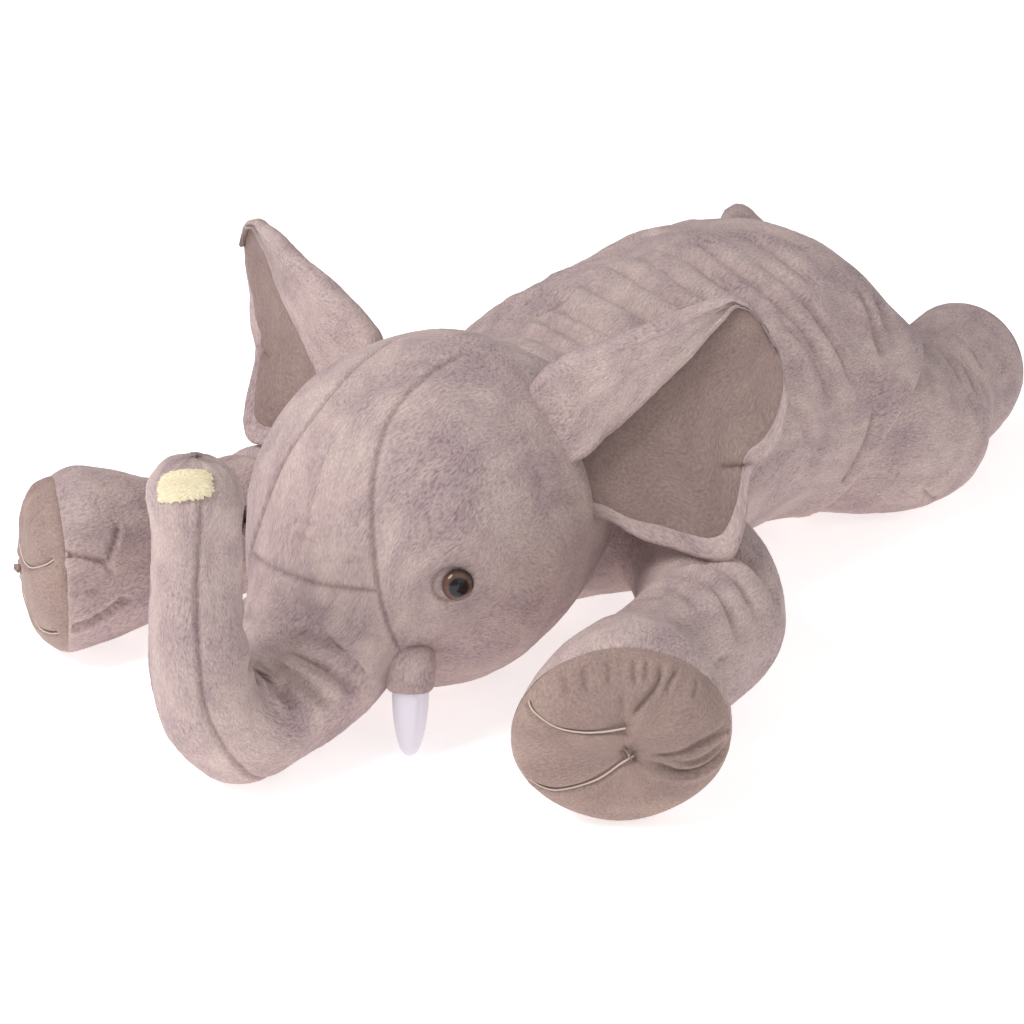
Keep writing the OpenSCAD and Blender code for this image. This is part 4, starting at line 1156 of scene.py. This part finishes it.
# The left ear stands further back than the right one, whose outer end droops.
ear_sides = ((1, "left", math.radians(30), 0.0), (-1, "right", math.radians(8), 38.0))
for side, label, sweep, droop in ear_sides:
    t = np.linspace(0, 1, 96)
    u, w, un, wn = ear_path(ear_rows, t)
    thick = 2.0 + 2.2 * np.clip(reading(ear_flap, ear_rows) / 30, 0.15, 1)[:, None]
    round_end = np.linspace(0, math.pi, 9)[1:-1]
    v = np.repeat(ear_rows[:, None], len(t), 1)
    back_u, back_w = u + un * thick, w + wn * thick
    front_u, front_w = u - un * thick, w - wn * thick
    # The padding's two long edges are rounded over.
    edge_u, edge_w = [], []
    for a in round_end:
        edge_u.append(u[:, -1:] + un[:, -1:] * thick * math.cos(a) + thick * math.sin(a) * 1.2)
        edge_w.append(w[:, -1:] + wn[:, -1:] * thick * math.cos(a))
    low_u, low_w = [], []
    for a in round_end:
        low_u.append(u[:, :1] + thick * math.sin(a) * 1.2)
        low_w.append(w[:, :1] + thick * math.cos(a))
    all_u = np.concatenate([back_u, *edge_u, front_u[:, ::-1], *low_u], 1)
    all_w = np.concatenate([back_w, *edge_w, front_w[:, ::-1], *low_w], 1)
    all_v = np.repeat(ear_rows[:, None], all_u.shape[1], 1)
    lower = 0.4 * droop * np.clip(all_v / ear_end, 0, 1) ** 2 * np.clip(1 - all_u / 100, 0, 1)
    grid = cut_out(ear_place(sweep, all_u + lower, all_v, all_w + ear_cup(all_u, all_v, droop)))
    uneven(grid, 101 + side, (7, 14), 0.8)
    uneven(grid, 103 + side, (50, 120), 0.18)
    root, along, away, front = ear_frame(sweep)
    dart_line = []
    for over, out_by, lift in ((136, 137, 4), (131, 122, 4), (126, 104, 4)):
        place = root + along * over + away * out_by
        dart_line.append(tuple(place + front * (lift + float(ear_cup(over, out_by, droop)))))
    fold(grid, dart_line, 3.0, 3.6, ends=0.3, dark=0.3)
    # The velour lies on the front, short of both edges, and turns up inside the ridge.
    first = 2 * (len(t) + len(round_end))
    rows_kept = slice(16, -9)
    cols_kept = slice(first + 7, first + 2 * len(t) - 9)
    face = grid[rows_kept, cols_kept]
    lift = facing(grid)[rows_kept, cols_kept]
    i, j = np.meshgrid(np.arange(face.shape[0]), np.arange(face.shape[1]), indexing="ij")
    border = np.minimum(np.minimum(i, face.shape[0] - 1 - i), np.minimum(j, face.shape[1] - 1 - j))
    rise = (np.clip(border / 5.0, 0, 1) * 1.5 - 0.4)[..., None] * MM
    top, under = face.copy(), face.copy()
    top[..., :3] += lift * rise
    under[..., :3] -= lift * 1.2 * MM
    lining_grid = np.concatenate([top, under[:, ::-1]], 1)
    if side < 0:
        grid, lining_grid = mirrored(grid), mirrored(lining_grid)
    ear = skin(f"ear_{label}_skin", grid, plush, shift=7.0 + side)
    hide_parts(f"ear_{label}_back", f"ear_{label}_wadding")
    lining = skin(f"ear_{label}_lining_skin", lining_grid, lining_cloth, shift=7.5 + side)
    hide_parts(f"ear_{label}_lining")
    for piece in (ear, lining):
        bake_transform(piece)


# ---- Torso cover ----
# Two side panels and a belly panel. The cloth is longer than the filling under it, so it
# lies in folds that run from the back down each flank, and gathers at neck and haunch.

grid = torso_form.copy()
for tree in (front_left_tree, front_right_tree):
    swell(grid, tree, 44)
for tree in hind_trees.values():
    swell(grid, tree, 60)
swell(grid, head_tree, 22)
swell(grid, tail_tree, 14)
grid = cut_out(grid)
uneven(grid, 111, (9, 9), 1.5)
uneven(grid, 112, (40, 44), 0.4)
back_folds = [
    ([(-30, 32, 282), (-5, 24, 283), (32, 12, 279), (56, 12, 271), (80, 17, 261), (104, 26, 244)], 7, 6.6),
    ([(-22, -16, 277), (18, -24, 275), (47, -25, 269), (68, -22, 261), (92, -14, 246)], 7, 5.9),
    ([(-10, 62, 286), (36, 48, 281), (62, 43, 272), (84, 47, 261), (110, 56, 242)], 7, 6.3),
    ([(-12, 116, 288), (20, 125, 286), (52, 114, 279), (76, 111, 270), (102, 115, 256), (127, 122, 236),
      (145, 126, 213), (157, 134, 191), (166, 143, 166)], 8, 7.6),
    ([(-20, 92, 287), (26, 88, 284), (56, 81, 278), (82, 81, 267), (108, 88, 248)], 7, 5.9),
    ([(60, 146, 278), (87, 145, 266), (107, 149, 254), (126, 151, 238), (142, 153, 220), (156, 160, 199),
      (165, 165, 177), (169, 172, 156)], 7, 6.9),
    ([(108, 100, 248), (128, 106, 233), (142, 114, 217), (152, 118, 202), (160, 122, 182),
      (166, 128, 158)], 7, 6.3),
    ([(120, 232, 240), (134, 228, 228), (146, 223, 213), (157, 218, 198), (166, 214, 176)], 6, 5.3),
    ([(128, 252, 226), (142, 244, 212), (154, 238, 194)], 6, 4),
    ([(150, 60, 188), (158, 74, 172), (163, 84, 152), (165, 90, 132)], 6, 4.9),
    ([(-16, -60, 270), (8, -62, 271), (32, -64, 267), (54, -60, 261), (80, -50, 248)], 7, 5.6),
    ([(-20, -84, 264), (6, -86, 265), (28, -89, 261), (48, -86, 255)], 6, 4.9),
    ([(-24, -106, 258), (-3, -106, 259), (19, -109, 256), (40, -108, 248)], 6, 4.9),
    ([(30, 170, 284), (60, 176, 276), (90, 178, 262), (116, 180, 244)], 8, 4.3),
    ([(20, 205, 283), (54, 214, 274), (86, 216, 258)], 9, 3.6),
    ([(-30, 140, 286), (-60, 136, 278), (-90, 134, 262)], 8, 4.9),
    ([(-34, 80, 285), (-62, 74, 276), (-92, 72, 260), (-118, 76, 238)], 7, 5.6),
    ([(-36, 20, 281), (-66, 16, 270), (-94, 18, 252)], 7, 5.3),
    ([(-40, -40, 271), (-66, -44, 258), (-90, -42, 240)], 7, 4.9),
    ([(-40, 200, 282), (-76, 204, 268), (-108, 206, 246)], 9, 4),
]
for points, wide, deep in back_folds:
    fold(grid, points, wide, deep)
flank_seams = [[(-20, -78, 262), (-14, -66, 267), (-12, -54, 271), (-8, -44, 273)],
               [(171, 190, 138), (169, 181, 114), (160, 173, 92), (150, 168, 66)]]
for points in flank_seams:
    seam(grid, points)
uneven(grid, 113, (120, 150), 0.10)
torso_skin = skin("torso_skin", grid, plush, shift=9.0)
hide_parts("torso_left_panel", "torso_right_panel", "torso_belly_panel",
            "torso_stuffing", "neck_cover", "neck_stuffing")
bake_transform(torso_skin)
